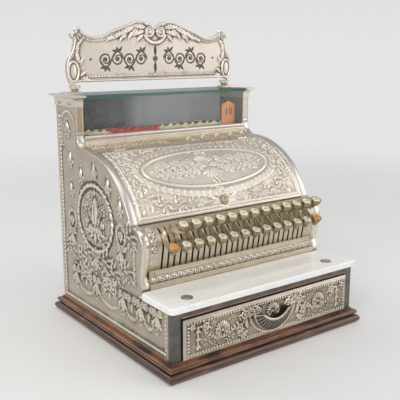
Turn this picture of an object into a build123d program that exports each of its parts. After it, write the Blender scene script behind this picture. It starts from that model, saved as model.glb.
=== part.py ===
from build123d import *
import os
from math import asin, atan2, cos, degrees, radians, sin, sqrt

# Antique key-and-tablet cash register: a plated cast cabinet on a moulded wooden base, with a glazed
# tablet window, a curved lid, two rows of keys in a slotted bed, a marble shelf and a cash drawer.
# Millimetres, +Z up, the front faces -Y. The origin is the centre of the base's bottom face.

# Values shared by every piece
overrun = 6.0
fit_gap = 0.3
running_clearance = 0.06
panel_wall = 4.0

# Cabinet
cabinet_width = 430.0
cabinet_depth = 405.0
flange_width = 16.5
column_depth = 83.5
column_height = 54.5
neck_radius = 25.0
neck_offset = 3.2
boss_radius = 8.0
boss_height = 6.0

# Wooden base
base_height = 29.5
base_overhang = 16.0
base_bead_radius = 7.25
base_groove = 1.6
base_top_step = 2.5
base_upper_bead_radius = 4.6
base_upper_bead_overhang = 11.7

# Lid
lid_radius = 178.4
lid_drop = 64.3
lid_lip_gap = 4.0
lid_bead_radius = 2.6
lid_seam_angle = 98.0
lid_seam_gap = 0.6
knuckle_radius = 3.2
knuckle_length = 8.0
knuckle_gap = 0.5
hinge_pin_radius = 1.5
hinge_inset = 46.5

# Raised bands that carry the cast ornament
rim_width = 4.4
rim_height = 1.5
wreath_gap = 15.5
wreath_width = 12.0
wreath_height = 0.9
border_width = 4.2
border_height = 1.2
border_inset = 7.2
oval_steps = 40
lid_oval_margin = 50.2
lid_oval_half_height = 47.0
lid_oval_lift = 4.6
lid_border_top = 11.0
lid_border_lip = 6.5
back_oval_margin = 80.0
back_oval_half_height = 72.0
back_oval_rise = 184.5
back_border_inset = 10.0
side_oval_half_width = 66.0
side_oval_half_height = 63.0
side_oval_setback = 149.5
side_oval_rise = 196.5
side_border_back = 15.5
side_border_low = 10.0
side_border_top = 19.0

# Lid lock
lock_rise = 16.5
lock_radius = 6.0
lock_boss_radius = 10.0
lock_proud = 1.2
lock_depth = 14.0
lock_tongue_length = 20.0
lock_tongue_width = 8.0
lock_tongue_thickness = 3.0

# Key bed
bed_rise = 107.0
bed_ledge = 4.4
bed_tail = 5.6
bed_radius = 33.0
bed_recede = 9.5
bed_wall = 3.0
toe_rise = 23.0
foot_setback = 3.0
foot_rise = 6.0
slot_width = 4.0
slot_floor_rise = 31.0
slot_end = 13.0

# Egg-and-dart moulding below the key bed
moulding_rise = 33.5
moulding_thickness = 6.7
moulding_bar = 9.5
moulding_strip = 10.0
moulding_swell = 3.0

# Keys
key_count = 27
key_end_margin = 26.9
lever_thickness = 2.5
fulcrum_setback = 83.0
fulcrum_drop = 24.0
shaft_radius = 3.0
tail_length = 185.0
tail_half_height = 4.0
arm_half_height = 6.5
cup_radius = 10.2
cup_foot_radius = 6.2
cup_rim = 2.5
cup_height = 11.0
cup_tilt = 25.0
cup_sides = 16
lower_cup_reach = 33.0
lower_cup_drop = 25.0
lower_arm_top_drop = 10.0
lower_arm_depth = 16.0
lower_hook_drop = 43.0
lower_hook_depth = 13.0
upper_cup_reach = 42.5
upper_cup_rise = 14.6
upper_arm_top_rise = 0.5
upper_arm_depth = 13.0
upper_knee_setback = 25.0
upper_knee_drop = 11.5

# Marble shelf and its two round caps
shelf_thickness = 11.0
shelf_side_overhang = 6.3
shelf_front_overhang = 7.2
shelf_corner_radius = 9.0
shelf_edge_radius = 2.5
rosette_radius = 10.8
rosette_height = 2.2
rosette_stem_radius = 3.0
rosette_inset = 47.0
rosette_depth_share = 0.327

# Drawer
drawer_zone = 88.5
frame_thickness = 12.5
frame_rail = 13.5
drawer_side_gap = 2.5
drawer_top_gap = 1.8
drawer_floor_gap = 1.0
drawer_front_thickness = 10.0
drawer_front_proud = 6.5
drawer_front_bevel = 3.0
drawer_spring_gap = 1.2
drawer_wall = 6.0
drawer_box_height = 55.0
drawer_rear_clear = 0.8
runner_height = 3.2
runner_width = 20.0
runner_guide_height = 30.0
divider_thickness = 4.0
divider_height = 45.0
coin_rows_depth = 136.0
coin_columns = 6
note_columns = 4

# Drawer pull
pull_radius = 49.0
pull_depth = 16.0
pull_wall = 3.0
pull_bottom_rise = 9.5
pull_lip_rise = 36.5
pull_end_rise = 48.5
pull_mouth_half_width = 27.0
pull_steps = 6

# Window and capitals
sill_height = 8.0
sill_proud = 6.0
sill_depth = 14.0
sill_drop = 1.0
glass_thickness = 3.0
top_glass_thickness = 6.0
top_glass_front = 9.0
capital_block_height = 11.4
capital_cove_height = 7.0
capital_slab_height = 3.4
capital_block_step = 2.0
capital_side_overhang = 9.0
capital_rear_overhang = 12.5
capital_front_overhang = 15.0
capital_stud_radius = 2.5
capital_stud_height = 1.6
capital_stud_spacing = 44.0
cove_shares = (0.293, 0.707)

# Top sign and its posts
sign_inset = 9.5
sign_height = 121.0
sign_lift = 21.6
sign_thickness = 5.0
sign_setback = 29.5
post_inset = 27.5
sign_post_shares = (0.877, 0.0)
sign_corner_shares = (0.954, -0.045)
sign_bulge_shares = (1.0, 0.18)
sign_flank_shares = (0.961, 0.434)
sign_waist_shares = (0.9246, 0.55)
sign_throat_shares = (0.909, 0.69)
sign_low_horn_shares = (0.9455, 0.77)
sign_crook_shares = (0.893, 0.81)
sign_high_horn_shares = (0.85, 0.884)
sign_saddle_start_shares = (0.82, 0.81)
sign_saddle_shares = (0.706, 0.74)
sign_slope_shares = (0.5255, 0.8165)
sign_shoulder_shares = (0.321, 0.938)
sign_peak_start_shares = (0.25, 0.981)
sign_peak_shares = (0.165, 1.0)
sign_notch_shares = (0.0, 0.8926)
post_foot_radius = 11.0
post_neck_radius = 6.5
post_ring_radius = 9.0
post_head_radius = 11.5
post_foot_thickness = 4.0
post_foot_length = 36.0
post_foot_depth = 24.0
post_ring_share = 0.42
post_head_share = 0.62

# Tablets and their guide
tablet_gap = 3.6
tablet_height = 60.0
tablet_thickness = 1.6
tablet_layer_step = 8.0
tablet_layers = 3
tablet_front_setback = 18.0
tablet_show = 7.0
tablet_rise = 42.0
tablet_knob_width_share = 0.16
tablet_shoulder_share = 0.88
tablet_tip_share = 0.97
rod_width = 5.0
rod_length = 53.0
guide_thickness = 4.0
guide_margin = 7.0

# Deck, bell and drawer catch
deck_thickness = 3.3
lug_thickness = 5.0
lug_width = 12.0
lug_height = 12.0
stub_radius = 2.0
latch_x = 60.0
latch_pivot_back = 30.0
latch_pivot_drop = 6.4
latch_thickness = 6.0
latch_eye_radius = 5.0
latch_arm_length = 47.0
latch_arm_height = 5.0
latch_hook_length = 13.5
latch_hook_width = 5.0
bell_x = -110.0
bell_setback = 85.0
bell_radius = 30.0
bell_wall = 2.0
bell_post_radius = 4.0
bell_rim_rise = 24.0
bell_steps = 3
hammer_gap = 5.0
hammer_ball_radius = 5.0
hammer_arm_radius = 1.8
hammer_pivot_rise = 7.0
hammer_eye_radius = 5.0
spring_radius = 38.5
spring_thickness = 2.0
spring_width = 30.0

# Counter under the lid
counter_shaft_radius = 2.5
counter_angle = 127.0
counter_clearance = 10.7
counter_wheel_radius = 13.0
counter_groove_radius = 10.0
counter_wheel_width = 9.0
counter_groove_width = 3.0
counter_wheels_count = 5
counter_collar_radius = 5.0
counter_collar_width = 4.0

# Places worked out from the sizes above
half_width = cabinet_width / 2
front_y = -cabinet_depth / 2
back_y = cabinet_depth / 2
inner_x = half_width - flange_width
wall_x = half_width - panel_wall
span_x = inner_x - fit_gap
panel_front_y = front_y + frame_thickness
shelf_bottom = base_height + drawer_zone
shelf_top = shelf_bottom + shelf_thickness
key_pitch = (inner_x - key_end_margin) * 2 / (key_count - 1)
tablet_width = key_pitch * tablet_layers - tablet_gap
rosette_x = half_width - rosette_inset
sign_half_width = half_width - sign_inset
post_x = half_width - post_inset
bed_top = shelf_top + bed_rise
column_front_y = back_y - column_depth
neck_y = column_front_y - neck_radius
lid_y = neck_y - neck_offset
lid_z = bed_top - lid_drop
neck_z = lid_z + sqrt((lid_radius + neck_radius) ** 2 - neck_offset**2)
neck_angle = degrees(atan2(neck_z - lid_z, neck_offset))
column_top = neck_z + column_height
nose_y = lid_y - sqrt(lid_radius**2 - lid_drop**2)
nose_angle = 180 - degrees(asin(lid_drop / lid_radius))
lip_angle = 180 - degrees(asin((lid_drop + lid_lip_gap) / lid_radius))
lock_angle = lip_angle - degrees(lock_rise / lid_radius)
lid_oval_angle = (lid_seam_angle + lip_angle) / 2 - degrees(lid_oval_lift / lid_radius)
lid_oval_half_width = span_x - lid_oval_margin
back_oval_half_width = span_x - back_oval_margin
back_oval_z = base_height + back_oval_rise
side_oval_y = back_y - side_oval_setback
side_oval_z = base_height + side_oval_rise
bed_y = nose_y - bed_ledge
bed_z = bed_top - bed_radius
bed_front_y = bed_y - bed_radius
shelf_front_y = front_y - shelf_front_overhang
shelf_back_y = bed_front_y - fit_gap
rosette_y = shelf_front_y + (shelf_back_y - shelf_front_y) * rosette_depth_share
toe_y = bed_front_y + bed_recede
toe_z = shelf_top + toe_rise
foot_y = bed_front_y + foot_setback
foot_z = shelf_top + foot_rise
fulcrum_y = bed_front_y + fulcrum_setback
fulcrum_z = bed_top - fulcrum_drop
counter_place = lid_radius - panel_wall - counter_clearance - counter_wheel_radius
counter_y = lid_y + counter_place * cos(radians(counter_angle))
counter_z = lid_z + counter_place * sin(radians(counter_angle))
seam_step = degrees(lid_seam_gap / lid_radius)
hinge_y = lid_y + lid_radius * cos(radians(lid_seam_angle))
hinge_z = lid_z + lid_radius * sin(radians(lid_seam_angle))
sill_top = neck_z - sill_drop
capital_top = column_top + capital_block_height + capital_cove_height + capital_slab_height
glass_top = capital_top - top_glass_thickness
sign_y = back_y - sign_setback
sign_z = capital_top + sign_lift
deck_top = shelf_bottom - panel_wall - fit_gap
frame_opening_top = shelf_bottom - frame_rail
drawer_half_width = inner_x - drawer_side_gap
drawer_face_y = front_y - drawer_front_proud
drawer_box_front = drawer_face_y + drawer_front_thickness
drawer_bottom = base_height + runner_height + fit_gap
drawer_top = drawer_bottom + drawer_box_height
spring_y = back_y - panel_wall - fit_gap - spring_radius
drawer_back = spring_y - spring_radius - drawer_spring_gap
box_half_width = drawer_half_width - drawer_wall / 2
guide_top = sill_top + tablet_show - tablet_height
tablet_y = column_front_y + tablet_front_setback
bell_y = back_y - bell_setback


# Helpers
def prism_x(face, x_low, x_high):
    """Carry a (y, z) face along X."""
    return Pos(x_low, 0, 0) * extrude(Plane.YZ * face, amount=x_high - x_low)


def prism_y(face, y_low, y_high):
    """Carry an (x, z) face along Y."""
    return Pos(0, y_high, 0) * extrude(Plane.XZ * face, amount=y_high - y_low)


def block(x, y, z):
    """A box given by its low and high side on each axis."""
    centre = Pos((x[0] + x[1]) / 2, (y[0] + y[1]) / 2, (z[0] + z[1]) / 2)
    return centre * Box(x[1] - x[0], y[1] - y[0], z[1] - z[0])


def rod_x(radius, y, z, x_low, x_high):
    """A round rod along X."""
    return Pos((x_low + x_high) / 2, y, z) * Rot(0, 90, 0) * Cylinder(radius, x_high - x_low)


def polygon(points):
    """A face with straight sides."""
    return make_face(Polyline(*points, close=True))


def sector(centre, outer, inner, start, end):
    """A ring's stretch between two angles, in degrees."""
    def place(radius, angle):
        return centre[0] + radius * cos(radians(angle)), centre[1] + radius * sin(radians(angle))

    return make_face(
        [
            CenterArc(centre, outer, start, end - start),
            Line(place(outer, end), place(inner, end)),
            CenterArc(centre, inner, start, end - start),
            Line(place(inner, start), place(outer, start)),
        ]
    )


def oval(half_width, half_height):
    """A flat oval in straight runs."""
    turns = [radians(360 * step / oval_steps) for step in range(oval_steps)]
    return polygon([(half_width * cos(turn), half_height * sin(turn)) for turn in turns])


def oval_band(half_width, half_height, width):
    """A flat oval ring, given by its middle line and its width."""
    step = width / 2
    return oval(half_width + step, half_height + step) - oval(half_width - step, half_height - step)


def oval_bands(half_width, half_height):
    """An oval rim and the wreath's band round it, each with its height."""
    wreath = oval_band(half_width + wreath_gap, half_height + wreath_gap, wreath_width)
    return [
        (oval_band(half_width, half_height, rim_width), rim_height),
        (wreath, wreath_height),
    ]


def cove(start, end):
    """A hollow quarter round from a lower inner point to an upper outer one."""
    along, up = end[0] - start[0], end[1] - start[1]
    middle = (start[0] + along * cove_shares[0], start[1] + up * cove_shares[1])
    return ThreePointArc(start, middle, end)


def both_sides(part):
    """The part and its mirror image across the middle of the cabinet, as separate solids."""
    return [part, mirror(part, about=Plane.YZ)]


# Wooden base: one moulding on all four sides, made as the common part of two long mouldings
def base_half_section(core):
    """Half of the base's section, from its middle plane out to the moulding."""
    edge = core + base_overhang
    bead_in = edge - base_bead_radius
    bead_top = base_bead_radius * 2
    step = core + base_top_step
    upper_out = core + base_upper_bead_overhang
    upper_in = upper_out - base_upper_bead_radius
    upper_low = bead_top + base_groove
    upper_middle = upper_low + base_upper_bead_radius
    upper_high = upper_middle + base_upper_bead_radius
    return make_face(
        [
            Line((0, base_height), (0, 0)),
            Line((0, 0), (bead_in, 0)),
            ThreePointArc((bead_in, 0), (edge, base_bead_radius), (bead_in, bead_top)),
            Line((bead_in, bead_top), (upper_in, bead_top)),
            Line((upper_in, bead_top), (upper_in, upper_low)),
            ThreePointArc((upper_in, upper_low), (upper_out, upper_middle), (upper_in, upper_high)),
            Line((upper_in, upper_high), (step, upper_high)),
            Line((step, upper_high), (step, base_height)),
            Line((step, base_height), (0, base_height)),
        ]
    )


def wood_base():
    across = base_half_section(half_width)
    across += mirror(across, about=Plane.YZ)
    along = base_half_section(back_y)
    along += mirror(along, about=Plane.YZ)
    reach_x = half_width + base_overhang + overrun
    reach_y = back_y + base_overhang + overrun
    return prism_y(across, -reach_y, reach_y) & prism_x(along, -reach_x, reach_x)


# Side castings: one outline from the drawer step, over the key bed and the lid, up to the column
def side_outline(inset):
    """The casting's outline in (y, z), with every edge moved inwards by the inset."""
    radius = lid_radius - inset
    ledge = bed_top - inset
    nose = (lid_y - sqrt(radius**2 - (ledge - lid_z) ** 2), ledge)
    start_angle = 180 - degrees(asin((ledge - lid_z) / radius))
    front = panel_front_y + inset
    foot = foot_y + inset
    column = column_front_y + inset
    back = back_y - inset
    bottom = base_height + inset
    step = shelf_bottom - inset
    top = column_top - inset
    bed_front = (bed_front_y + inset, bed_z)
    toe = (toe_y + inset, toe_z)
    return make_face(
        [
            Polyline((front, bottom), (front, step), (foot, step), (foot, foot_z), toe, bed_front),
            CenterArc((bed_y, bed_z), bed_radius - inset, 180, -90),
            Line((bed_y, ledge), nose),
            CenterArc((lid_y, lid_z), radius, start_angle, neck_angle - start_angle),
            CenterArc((neck_y, neck_z), neck_radius + inset, neck_angle + 180, 180 - neck_angle),
            Polyline((column, neck_z), (column, top), (back, top), (back, bottom), (front, bottom)),
        ]
    )


def side_panel():
    """The right side: a plate with a deep rim on its inner side and bosses for the two shafts."""
    hollow = prism_x(side_outline(panel_wall), inner_x - overrun, wall_x)
    panel = prism_x(side_outline(0), inner_x, half_width) - hollow
    for y, z, radius in (
        (fulcrum_y, fulcrum_z, shaft_radius),
        (counter_y, counter_z, counter_shaft_radius),
    ):
        panel += rod_x(boss_radius, y, z, wall_x - boss_height, wall_x)
        panel -= rod_x(radius + running_clearance, y, z, wall_x - boss_height - overrun, wall_x)
    rim = Pos(side_oval_y, side_oval_z) * oval_band(
        side_oval_half_width, side_oval_half_height, rim_width
    )
    panel += prism_x(rim, wall_x, half_width + rim_height)
    step = border_width / 2
    rear = back_y - side_border_back
    low = base_height + side_border_low
    thickness = (wall_x, half_width + border_height)
    panel += block(thickness, (rear - step, rear + step), (low - step, column_top - side_border_top))
    panel += block(thickness, (panel_front_y + border_inset, rear + step), (low - step, low + step))
    return panel


def back_panel():
    """A plate with an oval rim, the wreath's band and a border on its outer face."""
    panel = block((-span_x, span_x), (back_y - panel_wall, back_y), (base_height, sill_top))
    inside = back_y - panel_wall / 2
    for band, height in oval_bands(back_oval_half_width, back_oval_half_height):
        panel += prism_y(Pos(0, back_oval_z) * band, inside, back_y + height)
    width = (span_x - back_border_inset) * 2
    tall = sill_top - base_height - back_border_inset * 2
    border = Rectangle(width + border_width, tall + border_width)
    border -= Rectangle(width - border_width, tall - border_width)
    border = Pos(0, (base_height + sill_top) / 2) * border
    return panel + prism_y(border, inside, back_y + border_height)


# Capitals: a block with two studs, a cove and a thin slab, on top of each column
def capital():
    levels = [column_top]
    for step in (capital_block_height, capital_cove_height, capital_slab_height):
        levels.append(levels[-1] + step)

    def side(inner, block_out, slab_out):
        """One side of the section, from the block's foot up to the slab's top."""
        return [
            Line((inner, levels[0]), (block_out, levels[0])),
            Line((block_out, levels[0]), (block_out, levels[1])),
            cove((block_out, levels[1]), (slab_out, levels[2])),
            Line((slab_out, levels[2]), (slab_out, levels[3])),
            Line((slab_out, levels[3]), (inner, levels[3])),
        ]

    across = make_face(
        side(inner_x, half_width + capital_block_step, half_width + capital_side_overhang)
        + [Line((inner_x, levels[3]), (inner_x, levels[0]))]
    )
    middle = back_y - column_depth / 2
    along = make_face(
        side(middle, back_y + capital_block_step, back_y + capital_rear_overhang)
        + side(
            middle, column_front_y - capital_block_step, column_front_y - capital_front_overhang
        )
    )
    shape = prism_y(across, front_y, back_y + column_depth) & prism_x(along, 0, cabinet_width)
    stud_z = (levels[0] + levels[1]) / 2
    face_x = half_width + capital_block_step
    for turn in (-1, 1):
        stud_y = middle + turn * capital_stud_spacing / 2
        shape += rod_x(capital_stud_radius, stud_y, stud_z, face_x, face_x + capital_stud_height)
    return shape


# Window: sill with its hollow frieze, three sheets of glass
def hinge_places():
    """The middle of each lid hinge along X."""
    return hinge_inset - inner_x, inner_x - hinge_inset


def hinge_cut(x_low, x_high):
    """Room for a hinge barrel in the piece beside it."""
    return rod_x(knuckle_radius + knuckle_gap, hinge_y, hinge_z, x_low, x_high)


def window_sill():
    frieze = sector(
        (lid_y, lid_z), lid_radius, lid_radius - panel_wall, lid_seam_angle - seam_step, neck_angle
    )
    hollow_end = 360 - degrees(asin(sill_height / 2 / neck_radius))
    frieze += sector(
        (neck_y, neck_z), neck_radius + panel_wall, neck_radius, neck_angle + 180, hollow_end
    )
    nose = column_front_y - sill_proud + sill_height / 2
    bar_back = column_front_y - sill_proud + sill_depth
    frieze += polygon(
        [
            (nose, sill_top - sill_height),
            (bar_back, sill_top - sill_height),
            (bar_back, sill_top),
            (nose, sill_top),
        ]
    )
    frieze += Pos(nose, sill_top - sill_height / 2) * Circle(sill_height / 2)
    sill = prism_x(frieze, -span_x, span_x)
    half_knuckle = knuckle_length / 2 + knuckle_gap
    for x in hinge_places():
        sill -= hinge_cut(x - half_knuckle, x + half_knuckle)
        for turn in (-1, 1):
            near, far = x + turn * half_knuckle, x + turn * (half_knuckle + knuckle_length)
            low, high = min(near, far), max(near, far)
            sill += rod_x(knuckle_radius, hinge_y, hinge_z, low, high)
            sill -= rod_x(
                hinge_pin_radius + running_clearance, hinge_y, hinge_z, low - overrun, high + overrun
            )
    return sill


def hinge_pins():
    half_length = knuckle_length * 1.5 + knuckle_gap
    return [
        rod_x(hinge_pin_radius, hinge_y, hinge_z, x - half_length, x + half_length)
        for x in hinge_places()
    ]


def window_glass():
    front = (column_front_y + fit_gap, column_front_y + fit_gap + glass_thickness)
    rear = (back_y - fit_gap - glass_thickness, back_y - fit_gap)
    height = (sill_top, glass_top)
    return [block((-span_x, span_x), front, height), block((-span_x, span_x), rear, height)]


def top_glass():
    return block(
        (-span_x, span_x),
        (column_front_y - top_glass_front, back_y),
        (glass_top, capital_top),
    )


# Lid with its rolled lip, hinge knuckles and lock boss
def lock_place():
    """Where the lock's axis meets the lid's outer face, turned so that local Z points outwards."""
    y = lid_y + lid_radius * cos(radians(lock_angle))
    z = lid_z + lid_radius * sin(radians(lock_angle))
    return Pos(0, y, z) * Rot(lock_angle - 90, 0, 0)


def lid_layer(height, x, top, low):
    """A layer on the lid's outer face between two angles, sunk halfway into the shell."""
    section = sector((lid_y, lid_z), lid_radius + height, lid_radius - panel_wall / 2, top, low)
    return prism_x(section, -x, x)


def lid_bands():
    """The oval rim, the wreath's band round it and the border along the lid's edges."""
    outward = (0, cos(radians(lid_oval_angle)), sin(radians(lid_oval_angle)))
    face = Plane((0, lid_y, lid_z), x_dir=(1, 0, 0), z_dir=outward)
    step = border_width / 2
    turn = degrees(step / lid_radius)
    top = lid_seam_angle + degrees(lid_border_top / lid_radius)
    low = lip_angle - degrees(lid_border_lip / lid_radius)
    x = span_x - border_inset
    bands = lid_layer(border_height, x + step, top - turn, low + turn)
    bands -= lid_layer(border_height + overrun, x - step, top + turn, low - turn)
    for band, height in oval_bands(lid_oval_half_width, lid_oval_half_height):
        column = extrude(face * band, amount=lid_radius + panel_wall)
        bands += lid_layer(height, x, top, low) & column
    return bands


def lid():
    section = sector(
        (lid_y, lid_z), lid_radius, lid_radius - panel_wall, lid_seam_angle + seam_step, lip_angle
    )
    middle = lid_radius - panel_wall / 2
    lip = (lid_y + middle * cos(radians(lip_angle)), lid_z + middle * sin(radians(lip_angle)))
    section += Pos(*lip) * Circle(lid_bead_radius)
    shell = prism_x(section, -span_x, span_x)
    half_knuckle = knuckle_length / 2
    reach = half_knuckle + knuckle_length + knuckle_gap * 2
    for x in hinge_places():
        shell -= hinge_cut(x - reach, x + reach)
        shell += rod_x(knuckle_radius, hinge_y, hinge_z, x - half_knuckle, x + half_knuckle)
        strap = sector(
            (lid_y, lid_z),
            lid_radius,
            lid_radius - panel_wall,
            lid_seam_angle + seam_step,
            lid_seam_angle + degrees((knuckle_radius + overrun) / lid_radius),
        )
        shell += prism_x(strap, x - half_knuckle, x + half_knuckle)
        shell -= rod_x(
            hinge_pin_radius + running_clearance, hinge_y, hinge_z, x - reach, x + reach
        )
    shell += lid_bands()
    boss_length = panel_wall / 2 + lock_proud
    shell += lock_place() * Pos(0, 0, lock_proud - boss_length / 2) * Cylinder(
        lock_boss_radius, boss_length
    )
    shell -= lock_place() * Cylinder(lock_radius + running_clearance, lock_depth * 2)
    return shell


def lock_plug():
    """The lock's barrel, with the tongue that turns down behind the key bed's ledge."""
    length = lock_depth + lock_proud + fit_gap
    plug = Pos(0, 0, lock_proud + fit_gap - length / 2) * Cylinder(lock_radius, length)
    tongue = block(
        (-lock_tongue_length, 0),
        (-lock_tongue_width / 2, lock_tongue_width / 2),
        (-lock_depth, lock_tongue_thickness - lock_depth),
    )
    return lock_place() * (plug + tongue)


# Key bed: a curved plate with one slot for each key, and the moulding below it
def key_x(index):
    """Where a key stands along X, counted from the left."""
    return (index - (key_count - 1) / 2) * key_pitch


def keyboard_plate():
    inner = bed_radius - bed_wall
    back = nose_y + bed_tail
    section = make_face(
        [
            Line((back, bed_top), (bed_y, bed_top)),
            CenterArc((bed_y, bed_z), bed_radius, 90, 90),
            Line((bed_front_y, bed_z), (toe_y, toe_z)),
            Line((toe_y, toe_z), (toe_y + bed_wall, toe_z)),
            Line((toe_y + bed_wall, toe_z), (bed_front_y + bed_wall, bed_z)),
            CenterArc((bed_y, bed_z), inner, 90, 90),
            Line((bed_y, bed_top - bed_wall), (back, bed_top - bed_wall)),
            Line((back, bed_top - bed_wall), (back, bed_top)),
        ]
    )
    plate = prism_x(section, -span_x, span_x)
    slots = [
        block(
            (key_x(index) - slot_width / 2, key_x(index) + slot_width / 2),
            (bed_front_y - overrun, bed_y - slot_end),
            (shelf_top + slot_floor_rise, bed_top + overrun),
        )
        for index in range(key_count)
    ]
    return plate - slots


def key_moulding():
    back = foot_y - foot_setback + moulding_thickness
    front = back - moulding_thickness
    hollow = front + moulding_swell
    top = shelf_top + moulding_rise
    bar_bottom = top - moulding_bar
    strip_top = shelf_top + moulding_strip
    section = make_face(
        [
            Line((back, shelf_bottom), (front, shelf_bottom)),
            Line((front, shelf_bottom), (front, strip_top)),
            Line((front, strip_top), (hollow, strip_top)),
            ThreePointArc(
                (hollow, strip_top), (front, (strip_top + bar_bottom) / 2), (hollow, bar_bottom)
            ),
            Line((hollow, bar_bottom), (front, bar_bottom)),
            Line((front, bar_bottom), (front, top)),
            Line((front, top), (back, top)),
            Line((back, top), (back, shelf_bottom)),
        ]
    )
    return prism_x(section, -span_x, span_x)


# Keys: a flat lever through its slot, bent to carry a round cup in the lower or the upper row
def key_cup(y, z):
    """A tapered cup whose face centre stands at (y, z), leaning towards the operator."""
    face = RegularPolygon(cup_radius, cup_sides)
    foot = Pos(0, 0, -cup_height) * RegularPolygon(cup_foot_radius, cup_sides)
    cup = loft([foot, Pos(0, 0, -cup_rim) * face], ruled=True)
    cup += Pos(0, 0, -cup_rim) * extrude(face, amount=cup_rim)
    return Pos(0, y, z) * Rot(cup_tilt, 0, 0) * cup


def lever_rear():
    """The points of a lever's tail, from the arm's top edge back round to its bottom edge."""
    return [
        (fulcrum_y, fulcrum_z + arm_half_height),
        (fulcrum_y + tail_length, fulcrum_z + tail_half_height),
        (fulcrum_y + tail_length, fulcrum_z - tail_half_height),
        (fulcrum_y, fulcrum_z - arm_half_height),
    ]


def lower_lever():
    cup = (bed_front_y - lower_cup_reach, bed_top - lower_cup_drop)
    top = bed_top - lower_arm_top_drop
    bottom = top - lower_arm_depth
    hook_bottom = bed_top - lower_hook_drop
    hook_top = hook_bottom + lower_hook_depth
    hook_y = cup[0] + cup_foot_radius
    tip_y = cup[0] - cup_foot_radius / 2
    rear = lever_rear()
    edges = [
        Polyline(
            (hook_y, hook_top),
            (bed_front_y, top),
            *rear,
            (bed_front_y, bottom),
            (hook_y, hook_bottom),
        ),
        ThreePointArc(
            (hook_y, hook_bottom),
            (
                tip_y + (hook_y - tip_y) * cove_shares[0],
                hook_bottom + lower_hook_depth * cove_shares[0],
            ),
            (tip_y, hook_top),
        ),
        Line((tip_y, hook_top), (hook_y, hook_top)),
    ]
    return make_face(edges), cup


def upper_lever():
    cup = (bed_front_y - upper_cup_reach, bed_top + upper_cup_rise)
    top = bed_top + upper_arm_top_rise
    knee_y = bed_front_y + upper_knee_setback
    knee_z = bed_top - upper_knee_drop
    end_y = cup[0] + cup_foot_radius
    slope = (top - knee_z) / upper_knee_setback
    end_z = min(top + slope * upper_cup_reach, cup[1] - cup_height / 2)
    points = [
        (cup[0], end_z),
        (end_y, end_z),
        (bed_front_y, top),
        (knee_y, knee_z),
        *lever_rear(),
        (knee_y, knee_z - upper_arm_depth),
        (bed_front_y, top - upper_arm_depth),
        (end_y, cup[1] - cup_height - upper_arm_depth / 2),
        (cup[0], cup[1] - cup_height),
    ]
    return polygon(points), cup


def key(index):
    """Even keys, counted from the left, are in the lower row and odd ones in the upper row."""
    outline, cup = lower_lever() if index % 2 == 0 else upper_lever()
    lever = prism_x(outline, -lever_thickness / 2, lever_thickness / 2)
    lever += key_cup(*cup)
    lever -= rod_x(
        shaft_radius + running_clearance, fulcrum_y, fulcrum_z, -lever_thickness, lever_thickness
    )
    return Pos(key_x(index), 0, 0) * lever


def cross_shafts():
    """The keys' fulcrum shaft, and the counter's shaft with its two collars."""
    fulcrum = rod_x(shaft_radius, fulcrum_y, fulcrum_z, -wall_x, wall_x)
    counter = rod_x(counter_shaft_radius, counter_y, counter_z, -wall_x, wall_x)
    stack = counter_half_length() + fit_gap
    for turn in (-1, 1):
        near, far = turn * stack, turn * (stack + counter_collar_width)
        counter += rod_x(
            counter_collar_radius, counter_y, counter_z, min(near, far), max(near, far)
        )
    return [fulcrum, counter]


def counter_half_length():
    """Half the length of the stack of counter wheels."""
    grooves = (counter_wheels_count - 1) * counter_groove_width
    return (counter_wheels_count * counter_wheel_width + grooves) / 2


def counter_wheels():
    """A stack of number wheels on one sleeve, turned as one piece with grooves between them."""
    half = counter_half_length()
    sleeve = rod_x(counter_groove_radius, counter_y, counter_z, -half, half)
    step = counter_wheel_width + counter_groove_width
    for index in range(counter_wheels_count):
        start = -half + index * step
        sleeve += rod_x(
            counter_wheel_radius, counter_y, counter_z, start, start + counter_wheel_width
        )
    bore = counter_shaft_radius + running_clearance
    return sleeve - rod_x(bore, counter_y, counter_z, -half - overrun, half + overrun)


# Marble shelf and caps
def marble_shelf():
    side = half_width + shelf_side_overhang
    shelf = block((-side, side), (shelf_front_y, shelf_back_y), (shelf_bottom, shelf_top))
    shelf = fillet(shelf.edges().filter_by(Axis.Z), shelf_corner_radius)
    shelf = fillet(shelf.faces().sort_by(Axis.Z)[-1].edges(), shelf_edge_radius)
    for x in (-rosette_x, rosette_x):
        shelf -= Pos(x, rosette_y, shelf_top) * Cylinder(
            rosette_stem_radius + running_clearance, shelf_thickness * 3
        )
    return shelf


def shelf_rosettes():
    rosette_rim = rosette_radius * cove_shares[1]
    rosette_shoulder = rosette_height * cove_shares[1]
    section = make_face(
        [
            Line((0, rosette_height), (0, -shelf_thickness)),
            Line((0, -shelf_thickness), (rosette_stem_radius, -shelf_thickness)),
            Line((rosette_stem_radius, -shelf_thickness), (rosette_stem_radius, 0)),
            Line((rosette_stem_radius, 0), (rosette_radius, 0)),
            Polyline((rosette_radius, 0), (rosette_rim, rosette_shoulder), (0, rosette_height)),
        ]
    )
    cap = Pos(rosette_x, rosette_y, shelf_top) * revolve(Plane.XZ * section, axis=Axis.Z)
    return both_sides(cap)


# Drawer, its frame and its runners
def drawer_frame():
    frame = block((-half_width, half_width), (front_y, panel_front_y), (base_height, shelf_bottom))
    return frame - block(
        (-inner_x, inner_x),
        (front_y - overrun, panel_front_y + overrun),
        (base_height - overrun, frame_opening_top),
    )


def drawer_front():
    plate = block(
        (-drawer_half_width, drawer_half_width),
        (drawer_face_y, drawer_box_front),
        (base_height + drawer_floor_gap, frame_opening_top - drawer_top_gap),
    )
    return chamfer(plate.faces().sort_by(Axis.Y)[0].edges(), drawer_front_bevel)


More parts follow.
